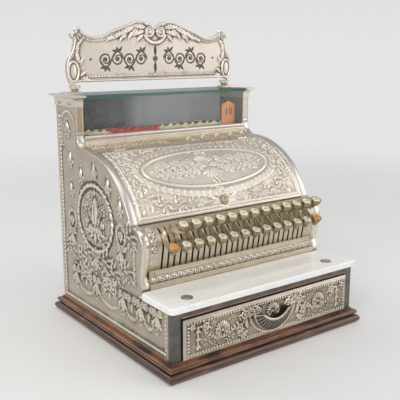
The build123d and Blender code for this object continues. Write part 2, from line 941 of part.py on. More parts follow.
def drawer_box():
    inside = box_half_width - drawer_wall
    tray = block(
        (-box_half_width, box_half_width), (drawer_box_front, drawer_back), (drawer_bottom, drawer_top)
    )
    return tray - block(
        (-inside, inside),
        (drawer_box_front - overrun, drawer_back - drawer_wall),
        (drawer_bottom + drawer_wall, drawer_top + overrun),
    )


def drawer_dividers():
    """One board across the drawer, with coin columns before it and note columns behind it."""
    inside = box_half_width - drawer_wall
    floor = drawer_bottom + drawer_wall
    height = (floor, floor + divider_height)
    cross = drawer_box_front + coin_rows_depth
    boards = [block((-inside, inside), (cross, cross + divider_thickness), height)]
    for columns, rows in (
        (coin_columns, (drawer_box_front, cross)),
        (note_columns, (cross + divider_thickness, drawer_back - drawer_wall)),
    ):
        step = inside * 2 / columns
        for index in range(1, columns):
            x = -inside + index * step
            boards.append(
                block((x - divider_thickness / 2, x + divider_thickness / 2), rows, height)
            )
    return boards


def drawer_pull():
    """A half-round shell cup with flat shoulders and a drooping mouth between them."""
    centre_z = base_height + pull_bottom_rise + pull_radius

    def dome(radius, depth):
        """A turned dome whose section follows a quarter ellipse in straight runs."""
        turns = [90 * step / pull_steps for step in range(pull_steps + 1)]
        rim = [(radius * cos(radians(turn)), depth * sin(radians(turn))) for turn in turns]
        return revolve(Plane.XZ * polygon([(0, 0), *rim]), axis=Axis.Z)

    shell = dome(pull_radius, pull_depth) - Pos(0, 0, -running_clearance) * dome(
        pull_radius - pull_wall, pull_depth - pull_wall + running_clearance
    )
    shell = Pos(0, drawer_face_y, centre_z) * Rot(90, 0, 0) * shell
    lip = base_height + pull_lip_rise
    end = base_height + pull_end_rise
    rise = end - lip
    lip_radius = (pull_mouth_half_width**2 + rise**2) / (2 * rise)
    cutter = Pos(0, drawer_face_y, lip + lip_radius) * Rot(90, 0, 0) * Cylinder(
        lip_radius, pull_depth * 4
    )
    above = block(
        (-pull_radius * 2, pull_radius * 2),
        (drawer_face_y - pull_depth * 2, drawer_face_y + pull_depth),
        (end, end + pull_radius * 2),
    )
    return shell - cutter - above


def drawer_runners():
    """A wooden rail under each side of the drawer, with an upright guide beside it."""
    length = (panel_front_y + panel_wall, back_y - panel_wall - fit_gap)
    rail_in = box_half_width - runner_width
    guide_in = box_half_width + drawer_rear_clear
    rail = block((rail_in, wall_x - fit_gap), length, (base_height, base_height + runner_height))
    rail += block(
        (guide_in, wall_x - fit_gap), length, (base_height, base_height + runner_guide_height)
    )
    rail -= block(
        (inner_x - fit_gap, half_width), length, (base_height - overrun, base_height + panel_wall + fit_gap)
    )
    return both_sides(rail)


# Deck over the drawer, with lugs and stub pins for the catch and the bell hammer
def deck_lug(x, y, z, low, high):
    """A lug beside the pivot at (y, z), with a stub pin that reaches through the pivoting piece."""
    lug = block((x - lug_thickness, x), (y - lug_width / 2, y + lug_width / 2), (low, high))
    return lug + rod_x(stub_radius, y, z, x - lug_thickness / 2, x + latch_thickness + fit_gap * 2)


def latch_pivot():
    return drawer_back + latch_pivot_back, deck_top - deck_thickness - latch_pivot_drop


def hammer_pivot():
    return bell_y - bell_radius - hammer_gap - hammer_ball_radius, deck_top + hammer_pivot_rise


def mechanism_deck():
    deck_bottom = deck_top - deck_thickness
    deck = block(
        (fit_gap - wall_x, wall_x - fit_gap),
        (panel_front_y + panel_wall + fit_gap, back_y - panel_wall - fit_gap),
        (deck_bottom, deck_top),
    )
    y, z = latch_pivot()
    deck += deck_lug(latch_x - fit_gap, y, z, deck_bottom - lug_height, deck_bottom)
    y, z = hammer_pivot()
    deck += deck_lug(bell_x - latch_thickness / 2 - fit_gap, y, z, deck_top, deck_top + lug_height)
    return deck


def drawer_latch():
    """A hook that drops in front of the drawer's back wall to hold the drawer shut."""
    y, z = latch_pivot()
    tip = y - latch_arm_length
    half = latch_arm_height / 2
    outline = polygon(
        [
            (y, z + half),
            (y, z - half),
            (tip + latch_hook_width, z - half),
            (tip + latch_hook_width, z - latch_hook_length),
            (tip, z - latch_hook_length),
            (tip, z + half),
        ]
    )
    x = (latch_x, latch_x + latch_thickness)
    latch = prism_x(outline, *x) + rod_x(latch_eye_radius, y, z, *x)
    return latch - rod_x(stub_radius + running_clearance, y, z, x[0] - overrun, x[1] + overrun)


def drawer_spring():
    """A bent leaf spring that kicks the drawer open."""
    z = drawer_bottom + drawer_box_height / 2
    bow = sector((spring_y, z), spring_radius, spring_radius - spring_thickness, 0, 180)
    return prism_x(bow, -spring_width / 2, spring_width / 2)


def bell_gong():
    """A domed gong on its post, made as one turned shape."""

    def dome(radius):
        """Points of a quarter round in straight runs, from the rim to near the crown."""
        turns = [90 * step / bell_steps for step in range(bell_steps)]
        return [
            (radius * cos(radians(turn)), bell_rim_rise + radius * sin(radians(turn)))
            for turn in turns
        ]

    outside = dome(bell_radius)
    inside = dome(bell_radius - bell_wall)
    crown = bell_rim_rise + bell_radius
    section = polygon(
        [
            (0, 0),
            (bell_post_radius, 0),
            (bell_post_radius, crown - bell_wall),
            *inside[::-1],
            *outside,
            (0, crown),
        ]
    )
    return Pos(bell_x, bell_y, deck_top) * revolve(Plane.XZ * section, axis=Axis.Z)


def bell_hammer():
    y, z = hammer_pivot()
    x = (bell_x - latch_thickness / 2, bell_x + latch_thickness / 2)
    ball_z = deck_top + bell_rim_rise + hammer_ball_radius
    arm_length = ball_z - z
    hammer = rod_x(hammer_eye_radius, y, z, *x)
    hammer += Pos(bell_x, y, z + arm_length / 2) * Cylinder(hammer_arm_radius, arm_length)
    hammer += Pos(bell_x, y, ball_z) * Rot(90, 0, 0) * Cylinder(
        hammer_ball_radius, hammer_ball_radius * 2
    )
    return hammer - rod_x(stub_radius + running_clearance, y, z, x[0] - overrun, x[1] + overrun)


# Indicator tablets: flat cards on rods, three layers deep, in a slotted guide
def tablet_place(index):
    """Where a tablet stands: its X place and its layer's Y place."""
    layer = (key_count - 1 - index) % tablet_layers
    return key_x(index), tablet_y + layer * tablet_layer_step


def tablet(index, bottom, foot):
    """A card with sloped shoulders and a small knob on top, on a flat rod."""
    x, y = tablet_place(index)
    half = tablet_width / 2
    knob = tablet_width * tablet_knob_width_share / 2
    shoulder = bottom + tablet_height * tablet_shoulder_share
    neck = bottom + tablet_height * tablet_tip_share
    top = bottom + tablet_height
    outline = polygon(
        [
            (x - rod_width / 2, foot),
            (x + rod_width / 2, foot),
            (x + rod_width / 2, bottom),
            (x + half, bottom),
            (x + half, shoulder),
            (x + knob, neck),
            (x + knob, top),
            (x - knob, top),
            (x - knob, neck),
            (x - half, shoulder),
            (x - half, bottom),
            (x - rod_width / 2, bottom),
        ]
    )
    return prism_y(outline, y - tablet_thickness / 2, y + tablet_thickness / 2)


def tablet_bank():
    """Every lowered tablet, standing on the guide."""
    return [tablet(index, guide_top, guide_top - rod_length) for index in range(key_count - 1)]


def raised_tablet():
    """The tablet of the right-hand key, standing up in the window."""
    bottom = guide_top + tablet_rise
    return tablet(key_count - 1, bottom, guide_top - rod_length - guide_thickness / 2)


def tablet_guide():
    reach = wall_x - fit_gap
    depth = tablet_layer_step * (tablet_layers - 1)
    plate = block(
        (-reach, reach),
        (tablet_y - guide_margin, tablet_y + depth + guide_margin),
        (guide_top - guide_thickness, guide_top),
    )
    holes = []
    for index in range(key_count):
        x, y = tablet_place(index)
        half_width_hole = rod_width / 2 + fit_gap
        half_depth_hole = tablet_thickness / 2 + fit_gap
        holes.append(
            block(
                (x - half_width_hole, x + half_width_hole),
                (y - half_depth_hole, y + half_depth_hole),
                (guide_top - guide_thickness - overrun, guide_top + overrun),
            )
        )
    return plate - holes


# Top sign: a plate with side bulges, two horns at each end and a double peak, on two turned posts
def sign_point(shares):
    """A point of the sign's right half, from its shares of the half width and the height."""
    return shares[0] * sign_half_width, sign_z + shares[1] * sign_height


def top_sign():
    post = sign_point(sign_post_shares)
    corner = sign_point(sign_corner_shares)
    flank = sign_point(sign_flank_shares)
    throat = sign_point(sign_throat_shares)
    crook = sign_point(sign_crook_shares)
    saddle_start = sign_point(sign_saddle_start_shares)
    slope = sign_point(sign_slope_shares)
    peak_start = sign_point(sign_peak_start_shares)
    notch = sign_point(sign_notch_shares)
    half = make_face(
        [
            Polyline((0, sign_z), post, corner),
            ThreePointArc(corner, sign_point(sign_bulge_shares), flank),
            ThreePointArc(flank, sign_point(sign_waist_shares), throat),
            ThreePointArc(throat, sign_point(sign_low_horn_shares), crook),
            ThreePointArc(crook, sign_point(sign_high_horn_shares), saddle_start),
            ThreePointArc(saddle_start, sign_point(sign_saddle_shares), slope),
            ThreePointArc(slope, sign_point(sign_shoulder_shares), peak_start),
            ThreePointArc(peak_start, sign_point(sign_peak_shares), notch),
            Line(notch, (0, sign_z)),
        ]
    )
    outline = half + mirror(half, about=Plane.YZ)
    return prism_y(outline, sign_y - sign_thickness / 2, sign_y + sign_thickness / 2)


def sign_posts():
    """A turned post with a ring, on a foot that is screwed to the capital."""
    height = sign_lift + sign_corner_shares[1] * sign_height
    ring_z = height * post_ring_share
    head_z = height * post_head_share
    ring_half = post_ring_radius - post_neck_radius
    section = make_face(
        [
            Line((0, 0), (post_foot_radius, 0)),
            Line((post_foot_radius, 0), (post_foot_radius, post_foot_thickness)),
            Polyline(
                (post_foot_radius, post_foot_thickness),
                (post_neck_radius, ring_z - ring_half),
                (post_ring_radius, ring_z),
                (post_neck_radius, ring_z + ring_half),
                (post_head_radius, head_z),
            ),
            Line((post_head_radius, head_z), (post_head_radius, height)),
            Line((post_head_radius, height), (0, height)),
            Line((0, height), (0, 0)),
        ]
    )
    post = Pos(post_x, sign_y, capital_top) * revolve(Plane.XZ * section, axis=Axis.Z)
    post += block(
        (post_x - post_foot_radius, post_x - post_foot_radius + post_foot_length),
        (sign_y - post_foot_depth / 2, sign_y + post_foot_depth / 2),
        (capital_top, capital_top + post_foot_thickness),
    )
    return both_sides(post)


# Write one file for each node
def write(name, shape):
    """Write a shape, or a list of separate solids, as one node."""
    solids = shape if isinstance(shape, list) else [shape]
    export_step(Compound(children=[Part(solid.wrapped) for solid in solids]), f"parts/{name}.step")


right_side = side_panel()
nodes = {
    "wood_base": wood_base(),
    "right_side_panel": right_side,
    "left_side_panel": mirror(right_side, about=Plane.YZ),
    "back_panel": back_panel(),
    "capitals": both_sides(capital()),
    "window_sill": window_sill(),
    "window_glass": window_glass(),
    "top_glass": top_glass(),
    "top_sign": top_sign(),
    "sign_posts": sign_posts(),
    "keyboard_plate": keyboard_plate(),
    "key_moulding": key_moulding(),
    "marble_shelf": marble_shelf(),
    "shelf_rosettes": shelf_rosettes(),
    "drawer_frame": drawer_frame(),
    "drawer_runners": drawer_runners(),
    "mechanism_deck": mechanism_deck(),
    "cross_shafts": cross_shafts(),
    "tablet_guide": tablet_guide(),
    "tablet_bank": tablet_bank(),
    "raised_tablet": raised_tablet(),
    "bell_gong": bell_gong(),
    "bell_hammer": bell_hammer(),
    "drawer_spring": drawer_spring(),
    "drawer_latch": drawer_latch(),
    "counter_wheels": counter_wheels(),
    "lid": lid(),
    "hinge_pins": hinge_pins(),
    "lock_plug": lock_plug(),
    "drawer_front": drawer_front(),
    "drawer_box": drawer_box(),
    "drawer_dividers": drawer_dividers(),
    "drawer_pull": drawer_pull(),
}
for key_index in range(key_count):
    nodes[f"key_{key_index + 1:02d}"] = key(key_index)

os.makedirs("parts", exist_ok=True)
for node_name, node_shape in nodes.items():
    write(node_name, node_shape)
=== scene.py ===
"""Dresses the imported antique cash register: cast relief, key tops, tablets, glass, wood, marble and light."""

from __future__ import annotations

import logging
import math
from abc import ABC, abstractmethod
from dataclasses import dataclass, field, replace
from enum import Enum
from typing import Sequence

import bpy
import numpy as np
from mathutils import Matrix, Vector

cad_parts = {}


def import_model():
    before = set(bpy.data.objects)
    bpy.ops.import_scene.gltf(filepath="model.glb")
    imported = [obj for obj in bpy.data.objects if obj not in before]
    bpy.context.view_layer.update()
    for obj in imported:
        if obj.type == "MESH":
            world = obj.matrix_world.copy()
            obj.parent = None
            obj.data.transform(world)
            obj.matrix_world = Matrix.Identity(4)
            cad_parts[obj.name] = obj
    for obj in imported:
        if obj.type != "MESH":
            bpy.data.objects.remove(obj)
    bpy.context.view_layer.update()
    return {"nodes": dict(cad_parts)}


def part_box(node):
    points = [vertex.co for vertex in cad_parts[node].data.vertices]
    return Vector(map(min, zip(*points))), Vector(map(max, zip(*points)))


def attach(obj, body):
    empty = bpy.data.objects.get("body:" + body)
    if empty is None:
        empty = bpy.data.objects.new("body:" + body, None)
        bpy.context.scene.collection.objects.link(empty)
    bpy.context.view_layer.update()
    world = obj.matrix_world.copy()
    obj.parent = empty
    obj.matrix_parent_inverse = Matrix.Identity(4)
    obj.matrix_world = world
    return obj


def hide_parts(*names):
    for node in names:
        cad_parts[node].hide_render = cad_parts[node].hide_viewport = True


LOG = logging.getLogger("register")
MM = 0.001
Array = np.ndarray
Colour = tuple[float, float, float]
Pair = Sequence[float]
Table = tuple[tuple[float, ...], ...]
HANDS = (-1.0, 1.0)
SIDES = (("left", -1.0), ("right", 1.0))
RELIEF_SINK = 1.5
HINGE_SINK = -0.4


def rgba(colour: Colour) -> tuple[float, float, float, float]:
    """A colour with full cover."""
    return (*colour, 1.0)


class Value:
    """A shader socket that takes part in Python sums by adding Math nodes."""

    def __init__(self, shader: "Shader", socket: bpy.types.NodeSocket) -> None:
        """Keep the socket and the shader that it belongs to."""
        self.shader = shader
        self.socket = socket

    def _math(self, operation: str, first: object, second: object) -> "Value":
        """Add one Math node for two values."""
        return self.shader.add("ShaderNodeMath", {"operation": operation}, {0: first, 1: second})

    def __add__(self, other: object) -> "Value":
        """Sum."""
        return self._math("ADD", self, other)

    def __sub__(self, other: object) -> "Value":
        """Difference."""
        return self._math("SUBTRACT", self, other)

    def __mul__(self, other: object) -> "Value":
        """Product."""
        return self._math("MULTIPLY", self, other)

    def __radd__(self, other: object) -> "Value":
        """Sum with the value on the right."""
        return self._math("ADD", other, self)

    def __rsub__(self, other: object) -> "Value":
        """Difference with the value on the right."""
        return self._math("SUBTRACT", other, self)

    def __rmul__(self, other: object) -> "Value":
        """Product with the value on the right."""
        return self._math("MULTIPLY", other, self)

    def __gt__(self, other: object) -> "Value":
        """One where this is the larger, else zero."""
        return self._math("GREATER_THAN", self, other)

    def __lt__(self, other: object) -> "Value":
        """One where this is the smaller, else zero."""
        return self._math("LESS_THAN", self, other)

    def __abs__(self) -> "Value":
        """Size without sign."""
        return self._math("ABSOLUTE", self, 0.0)

    def ramp(self, low: float, high: float) -> "Value":
        """Zero below low, one above high and smooth between."""
        bounds = {"Value": self, "From Min": low, "From Max": high}
        return self.shader.add("ShaderNodeMapRange", {"interpolation_type": "SMOOTHSTEP"}, bounds)


class Shader:
    """A material whose nodes are added by name."""

    def __init__(self, name: str) -> None:
        """Start a material with one Principled shader.

        Args:
            name: the material's name.
        """
        self.material = bpy.data.materials.new(name)
        self.material.use_nodes = True
        self.tree = self.material.node_tree
        self.surface = self.tree.nodes["Principled BSDF"]
        self._coords: Value | None = None

    def add(self, kind: str, settings: dict, inputs: dict, output: int | str = 0) -> Value:
        """Add a node.

        Args:
            kind: the node's type.
            settings: properties to set first.
            inputs: values or links, by socket name or number.
            output: which output to hand back, by number or name.

        Returns:
            That output.
        """
        node = self.tree.nodes.new(kind)
        for key, value in settings.items():
            setattr(node, key, value)
        for key, value in inputs.items():
            self.put(node.inputs[key], value)
        return Value(self, node.outputs[output])

    def put(self, socket: bpy.types.NodeSocket, value: object) -> None:
        """Link a value to a socket, or set the socket's own number or colour.

        Args:
            socket: an input.
            value: what it takes.
        """
        if isinstance(value, Value):
            self.tree.links.new(value.socket, socket)
        else:
            socket.default_value = rgba(value) if socket.type == "RGBA" else value

    def coords(self) -> Value:
        """The object's own coordinates, in metres."""
        self._coords = self._coords or self.add("ShaderNodeTexCoord", {}, {}, 3)
        return self._coords

    def axis(self, index: int) -> Value:
        """One object coordinate: 0 for x, 1 for y, 2 for z."""
        return self.add("ShaderNodeSeparateXYZ", {}, {0: self.coords()}, index)

    def attribute(self, name: str) -> Value:
        """A number that the piece's mesh holds at each point."""
        return self.add("ShaderNodeAttribute", {"attribute_name": name}, {}, 2)

    def noise(self, scale: float, detail: float = 4.0, stretch: Sequence[float] = (1, 1, 1)) -> Value:
        """Cloudy noise about one half: features per metre, finer layers and a factor on each axis."""
        place = self.add("ShaderNodeMapping", {}, {"Vector": self.coords(), "Scale": tuple(stretch)})
        return self.add("ShaderNodeTexNoise", {}, {"Vector": place, "Scale": scale, "Detail": detail})

    def mix(self, factor: object, first: object, second: object) -> Value:
        """Blend two colours by a factor."""
        sockets = {0: factor, 6: first, 7: second}
        return self.add("ShaderNodeMix", {"data_type": "RGBA"}, sockets, 2)

    def bump(self, height: Value, strength: float, depth: float) -> None:
        """Press a height into the surface's normal."""
        sockets = {"Height": height, "Strength": strength, "Distance": depth}
        self.put(self.surface.inputs["Normal"], self.add("ShaderNodeBump", {}, sockets))

    def done(self, **sockets: object) -> bpy.types.Material:
        """Fill the shader's sockets.

        Args:
            sockets: what each takes, by its name with underscores.

        Returns:
            The finished material.
        """
        for key, value in sockets.items():
            self.put(self.surface.inputs[key.replace("_", " ")], value)
        return self.material


class Finish(ABC):
    """A look that makes its own material."""

    name: str

    @abstractmethod
    def build(self) -> bpy.types.Material:
        """Make the material.

        Returns:
            The material, ready for a mesh.
        """


@dataclass(frozen=True)
class PlatedMetal(Finish):
    """Old nickel plate: bright on edges, grey on the ground and dark with patina in the hollows."""

    name: str
    bright: Colour
    ground: Colour
    patina: Colour
    roughness: float
    relief: bool = False
    ink: bool = False
    grain_depth: float = 0.00006

    def build(self) -> bpy.types.Material:
        """Make the material. The tone comes from the relief's wear, where it has one, and from noise."""
        s = Shader(self.name)
        cloud = s.noise(26.0, 5.0)
        speck = s.noise(210.0, 3.0)
        fine = s.noise(1300.0, 2.0)
        tone = (cloud - 0.5) * 0.5 + (speck - 0.5) * 0.35
        tone = tone + (s.attribute("wear") if self.relief else 0.62)
        colour = s.mix(tone.ramp(0.12, 0.52), self.patina, self.ground)
        colour = s.mix(tone.ramp(0.5, 0.95), colour, self.bright)
        dull = 1.0 - tone.ramp(0.05, 0.55)
        # ink paints cut places dark: on the sign it is the engraved lines' real print, on the lock it is
        # painted shade in the keyhole
        if self.ink:
            cut = s.attribute("ink")
            colour = s.mix(cut, colour, (0.075, 0.05, 0.036))
            dull = dull + cut
        s.bump(fine, 0.35, self.grain_depth)
        return s.done(
            Base_Color=colour,
            Metallic=0.96 - 0.55 * dull,
            Roughness=self.roughness + 0.14 * (cloud - 0.5) + 0.24 * dull,
        )


@dataclass(frozen=True)
class PlainMetal(Finish):
    """Turned, drawn or machined metal with fine drawn lines."""

    name: str
    colour: Colour
    shade: Colour
    roughness: float
    lines: tuple[float, float, float] = (0.02, 1.0, 1.0)

    def build(self) -> bpy.types.Material:
        """Make the material: stretched noise gives the drawn lines and a cloud gives the tarnish."""
        s = Shader(self.name)
        drawn = s.noise(900.0, 2.0, self.lines)
        cloud = s.noise(40.0)
        colour = s.mix(cloud.ramp(0.3, 0.75), self.shade, self.colour)
        s.bump(drawn, 0.2, 0.00004)
        return s.done(Base_Color=colour, Metallic=0.97, Roughness=self.roughness + 0.16 * (drawn - 0.5))


@dataclass(frozen=True)
class Enamel(Finish):
    """Hard glossy paint or moulded ivory with slight ageing."""

    name: str
    colour: Colour
    aged: Colour
    roughness: float
    coat: float = 0.3

    def build(self) -> bpy.types.Material:
        """Make the material: cloudy ageing in the colour and a faint orange-peel bump."""
        s = Shader(self.name)
        cloud = s.noise(120.0, 5.0)
        colour = s.mix(cloud.ramp(0.42, 0.72), self.colour, self.aged)
        s.bump(s.noise(700.0, 2.0), 0.12, 0.00005)
        return s.done(
            Base_Color=colour, Roughness=self.roughness + 0.2 * (cloud - 0.5), Coat_Weight=self.coat
        )


@dataclass(frozen=True)
class MouldingWood(Finish):
    """Dark varnished wood whose grain runs along each side of a mitred moulding."""

    name: str
    dark: Colour
    warm: Colour
    worn_and_glint: Colour
    half_size: tuple[float, float] | None = None
    glinting_arrises: tuple[float, ...] = ()

    def build(self) -> bpy.types.Material:
        """Make the material. Beyond the mitre, where |x| leads |y|, the grain turns to run along y."""
        s = Shader(self.name)
        along_x = s.noise(30.0, 6.0, (0.6, 9.0, 9.0))
        pores_x = s.noise(300.0, 2.0, (0.05, 1.0, 1.0))
        grain, pores = along_x, pores_x
        if self.half_size is not None:
            lead = abs(s.axis(0)) - self.half_size[0]
            beyond = lead > (abs(s.axis(1)) - self.half_size[1])
            along_y = s.noise(30.0, 6.0, (9.0, 0.6, 9.0))
            pores_y = s.noise(300.0, 2.0, (1.0, 0.05, 1.0))
            grain = along_x + beyond * (along_y - along_x)
            pores = pores_x + beyond * (pores_y - pores_x)
        colour = s.mix(grain.ramp(0.34, 0.66), self.dark, self.warm)
        scuff = s.noise(14.0, 6.0).ramp(0.5, 0.72) * grain.ramp(0.4, 0.7)
        colour = s.mix(scuff, colour, self.worn_and_glint)
        # each arris line mixes in the worn colour at one edge height: rubbed varnish, and a painted highlight
        # where the edge catches the light
        for level in self.glinting_arrises:
            line = 1.0 - abs(s.axis(2) - level).ramp(0.0004, 0.0016)
            rubbed_and_glinting = s.noise(22.0, 5.0, (1.0, 1.0, 0.2)).ramp(0.36, 0.6)
            colour = s.mix(line * rubbed_and_glinting * 0.8, colour, self.worn_and_glint)
        colour = s.mix(pores.ramp(0.62, 0.75) * 0.7, colour, (0.02, 0.01, 0.006))
        s.bump(grain * 0.6 + pores * 0.4, 0.25, 0.0002)
        return s.done(Base_Color=colour, Roughness=0.42 - 0.16 * grain, Coat_Weight=0.25)


@dataclass(frozen=True)
class Marble(Finish):
    """Polished white marble with faint grey veins."""

    name: str
    white: Colour
    vein: Colour

    def build(self) -> bpy.types.Material:
        """Make the material: a vein lies where warped noise passes one half."""
        s = Shader(self.name)
        cloud = s.noise(7.0, 6.0, (1.0, 1.6, 1.0))
        thread = s.noise(11.0, 8.0, (0.7, 1.7, 1.0))
        vein = 1.0 - abs(thread - 0.5).ramp(0.0, 0.035)
        colour = s.mix(cloud.ramp(0.35, 0.7) * 0.13, self.white, self.vein)
        colour = s.mix(vein * 0.14, colour, self.vein)
        s.bump(s.noise(500.0, 2.0), 0.04, 0.00005)
        return s.done(Base_Color=colour, Roughness=0.2 + 0.1 * cloud, Coat_Weight=0.4)


@dataclass(frozen=True)
class PlateGlass(Finish):
    """Old clear plate glass: green through its long edges, and on a rear sheet a painted reflection of a dark
    room.
    """

    name: str
    tint: Colour
    edge: Colour
    low: tuple[float, float, float]
    high: tuple[float, float, float]
    clear: float
    mirror_from: float | None = None

    def build(self) -> bpy.types.Material:
        """Make the material: cover rises on the sheet's edges, or on all that lies behind mirror_from."""
        s = Shader(self.name)
        dust = s.noise(60.0, 5.0)
        cover = self.clear + 0.05 * dust.ramp(0.45, 0.8)
        if self.mirror_from is None:
            line = 0.0008
            front = s.axis(1) < (self.low[1] + line)
            rear = s.axis(1) > (self.high[1] - line)
            ends = abs(s.axis(0)) > (self.high[0] - line)
            marked = (front + rear + ends) > 0.5
            colour = s.mix(marked, self.tint, self.edge)
            cover = cover + marked * 0.6
        else:
            # painted reflection: behind mirror_from the sheet turns nearly opaque, dark to the left and grey in
            # upright streaks to the right, standing in for a dark room seen in it
            marked = s.axis(1) > self.mirror_from
            painted_reflection_streaks = s.noise(9.0, 2.0, (1.0, 1.0, 0.05)) * 0.6 + s.axis(0) * 1.4
            pale = painted_reflection_streaks.ramp(0.08, 0.32)
            grey = s.mix(pale, (0.035, 0.036, 0.037), self.edge)
            colour = s.mix(marked, self.tint, grey)
            cover = cover + marked * (0.88 - 0.3 * pale)
        material = s.done(Base_Color=colour, Roughness=0.03 + 0.05 * dust, Alpha=cover)
        material.surface_render_method = "BLENDED"
        return material


class Palette:
    """Every finish on the register, made once."""

    def __init__(self) -> None:
        """Make the materials."""
        bright: Colour = (0.80, 0.755, 0.68)
        warm: Colour = (0.60, 0.55, 0.47)
        patina: Colour = (0.12, 0.1, 0.075)
        self.cast = PlatedMetal("nickel_cast", bright, warm, patina, 0.36, relief=True).build()
        self.lid = PlatedMetal(
            "nickel_lid", (0.87, 0.815, 0.72), (0.76, 0.7, 0.6), (0.45, 0.4, 0.325), 0.43, relief=True
        ).build()
        self.frieze = PlatedMetal(
            "nickel_frieze", (0.86, 0.765, 0.615), (0.67, 0.575, 0.44), (0.32, 0.25, 0.17), 0.4, relief=True
        ).build()
        self.side = PlatedMetal(
            "nickel_side", (0.87, 0.8, 0.68), (0.5, 0.45, 0.365), (0.09, 0.075, 0.053), 0.36, relief=True
        ).build()
        self.drawer = PlatedMetal(
            "nickel_drawer", (0.81, 0.725, 0.59), (0.36, 0.305, 0.23), (0.06, 0.048, 0.033), 0.33, relief=True
        ).build()
        self.pull = PlatedMetal(
            "pull_patina", (0.78, 0.72, 0.62), (0.27, 0.24, 0.195), (0.045, 0.038, 0.03), 0.33, relief=True
        ).build()
        self.sign = PlatedMetal(
            "nickel_sign", (0.85, 0.78, 0.695), (0.7, 0.635, 0.555), (0.18, 0.145, 0.107), 0.42, True, True
        ).build()
        self.plate = PlatedMetal("nickel_plate", bright, (0.66, 0.61, 0.53), (0.3, 0.27, 0.22), 0.32).build()
        self.body = PlatedMetal(
            "nickel_body", (0.66, 0.63, 0.57), (0.47, 0.445, 0.39), (0.18, 0.165, 0.135), 0.36
        ).build()
        self.polish = PlatedMetal(
            "nickel_polish", (0.81, 0.77, 0.71), (0.67, 0.635, 0.575), (0.38, 0.35, 0.31), 0.34
        ).build()
        self.bed = PlatedMetal(
            "nickel_bed", (0.75, 0.665, 0.525), (0.57, 0.495, 0.38), (0.22, 0.18, 0.125), 0.36
        ).build()
        self.cream = PlatedMetal(
            "nickel_cream", (0.87, 0.81, 0.69), (0.74, 0.68, 0.56), (0.42, 0.37, 0.29), 0.26
        ).build()
        self.bared = PlatedMetal(
            "bared_brass", (0.66, 0.53, 0.38), (0.46, 0.33, 0.21), (0.2, 0.125, 0.07), 0.36
        ).build()
        self.steel = PlainMetal("machined_steel", (0.6, 0.59, 0.56), (0.42, 0.4, 0.37), 0.32).build()
        self.cup = PlainMetal(
            "key_cup", (0.52, 0.45, 0.3), (0.28, 0.235, 0.14), 0.22, (1.0, 1.0, 0.05)
        ).build()
        self.lever = PlainMetal("key_lever", (0.72, 0.67, 0.57), (0.52, 0.47, 0.37), 0.3).build()
        self.brass = PlainMetal("worn_brass", (0.74, 0.56, 0.27), (0.5, 0.36, 0.16), 0.26).build()
        self.lock = PlatedMetal(
            "lock_brass", (0.52, 0.44, 0.31), (0.34, 0.28, 0.19), (0.13, 0.1, 0.055), 0.3, True, True
        ).build()
        self.rosette = PlatedMetal(
            "old_silver", (0.62, 0.57, 0.49), (0.34, 0.305, 0.25), (0.05, 0.042, 0.033), 0.36, relief=True
        ).build()
        self.frame = PlainMetal("frame_steel", (0.21, 0.2, 0.185), (0.12, 0.115, 0.105), 0.36).build()
        self.ivory = Enamel("key_ivory", (0.78, 0.74, 0.56), (0.64, 0.58, 0.39), 0.22, 0.6).build()
        self.amber = Enamel("key_orange", (0.85, 0.32, 0.045), (0.7, 0.22, 0.03), 0.24, 0.5).build()
        self.ink = Enamel("ink", (0.03, 0.027, 0.024), (0.06, 0.05, 0.045), 0.5, 0.0).build()
        self.yellow = Enamel("tablet_yellow", (0.83, 0.76, 0.47), (0.72, 0.63, 0.35), 0.38).build()
        self.red = Enamel("tablet_red", (0.7, 0.04, 0.03), (0.55, 0.03, 0.025), 0.36).build()
        self.orange = Enamel("tablet_orange", (0.8, 0.34, 0.13), (0.72, 0.28, 0.1), 0.42).build()
        self.wheel = Enamel("counter_ivory", (0.8, 0.76, 0.66), (0.62, 0.57, 0.46), 0.35).build()
        # the base's arris heights take rubbed edges with painted highlights
        self.walnut = MouldingWood(
            "base_walnut", (0.034, 0.016, 0.01), (0.125, 0.055, 0.031), (0.36, 0.155, 0.062), (0.231, 0.2185),
            (0.0292, 0.0252, 0.0207),
        ).build()
        self.oak = MouldingWood(
            "drawer_oak", (0.25, 0.15, 0.075), (0.42, 0.27, 0.14), (0.5, 0.34, 0.18)
        ).build()
        self.inlay = MouldingWood(
            "wood_inlay", (0.17, 0.08, 0.03), (0.36, 0.18, 0.065), (0.48, 0.26, 0.1)
        ).build()
        self.marble = Marble("white_marble", (0.91, 0.905, 0.885), (0.6, 0.6, 0.605)).build()
        low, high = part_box("window_glass")
        # the window's rear sheet, behind y 0.16 m, takes a painted reflection in its edge colour and near black
        self.window = PlateGlass(
            "window_glass", (0.5, 0.56, 0.54), (0.25, 0.26, 0.275), tuple(low), tuple(high), 0.05, 0.16
        ).build()
        low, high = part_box("top_glass")
        self.top_glass = PlateGlass(
            "top_glass", (0.6, 0.68, 0.65), (0.035, 0.14, 0.105), tuple(low), tuple(high), 0.12
        ).build()


def even(low: float, high: float, step: float) -> Array:
    """Evenly spaced values from low to high, about a step apart."""
    return np.linspace(low, high, round((high - low) / step))


def unit(values: Array) -> Array:
    """Values held between zero and one."""
    return np.clip(values, 0.0, 1.0)


def direction(degrees: float) -> tuple[float, float]:
    """An angle's cosine and sine."""
    return math.cos(math.radians(degrees)), math.sin(math.radians(degrees))


def xyz(x: Array | float, y: Array | float, z: Array | float) -> Array:
    """Points from their three coordinates, any of which may be one number for all."""
    return np.stack(np.broadcast_arrays(x, y, z), -1)


def dome(squared: Array) -> Array:
    """A round bulge: the root of one less a squared radius, and zero outside it."""
    return np.sqrt(unit(1.0 - squared))


def ridge(off: Array, half: float, height: float) -> Array:
    """A half-round ridge: the height times a dome of the distance over the half width."""
    return height * dome((off / half) ** 2)


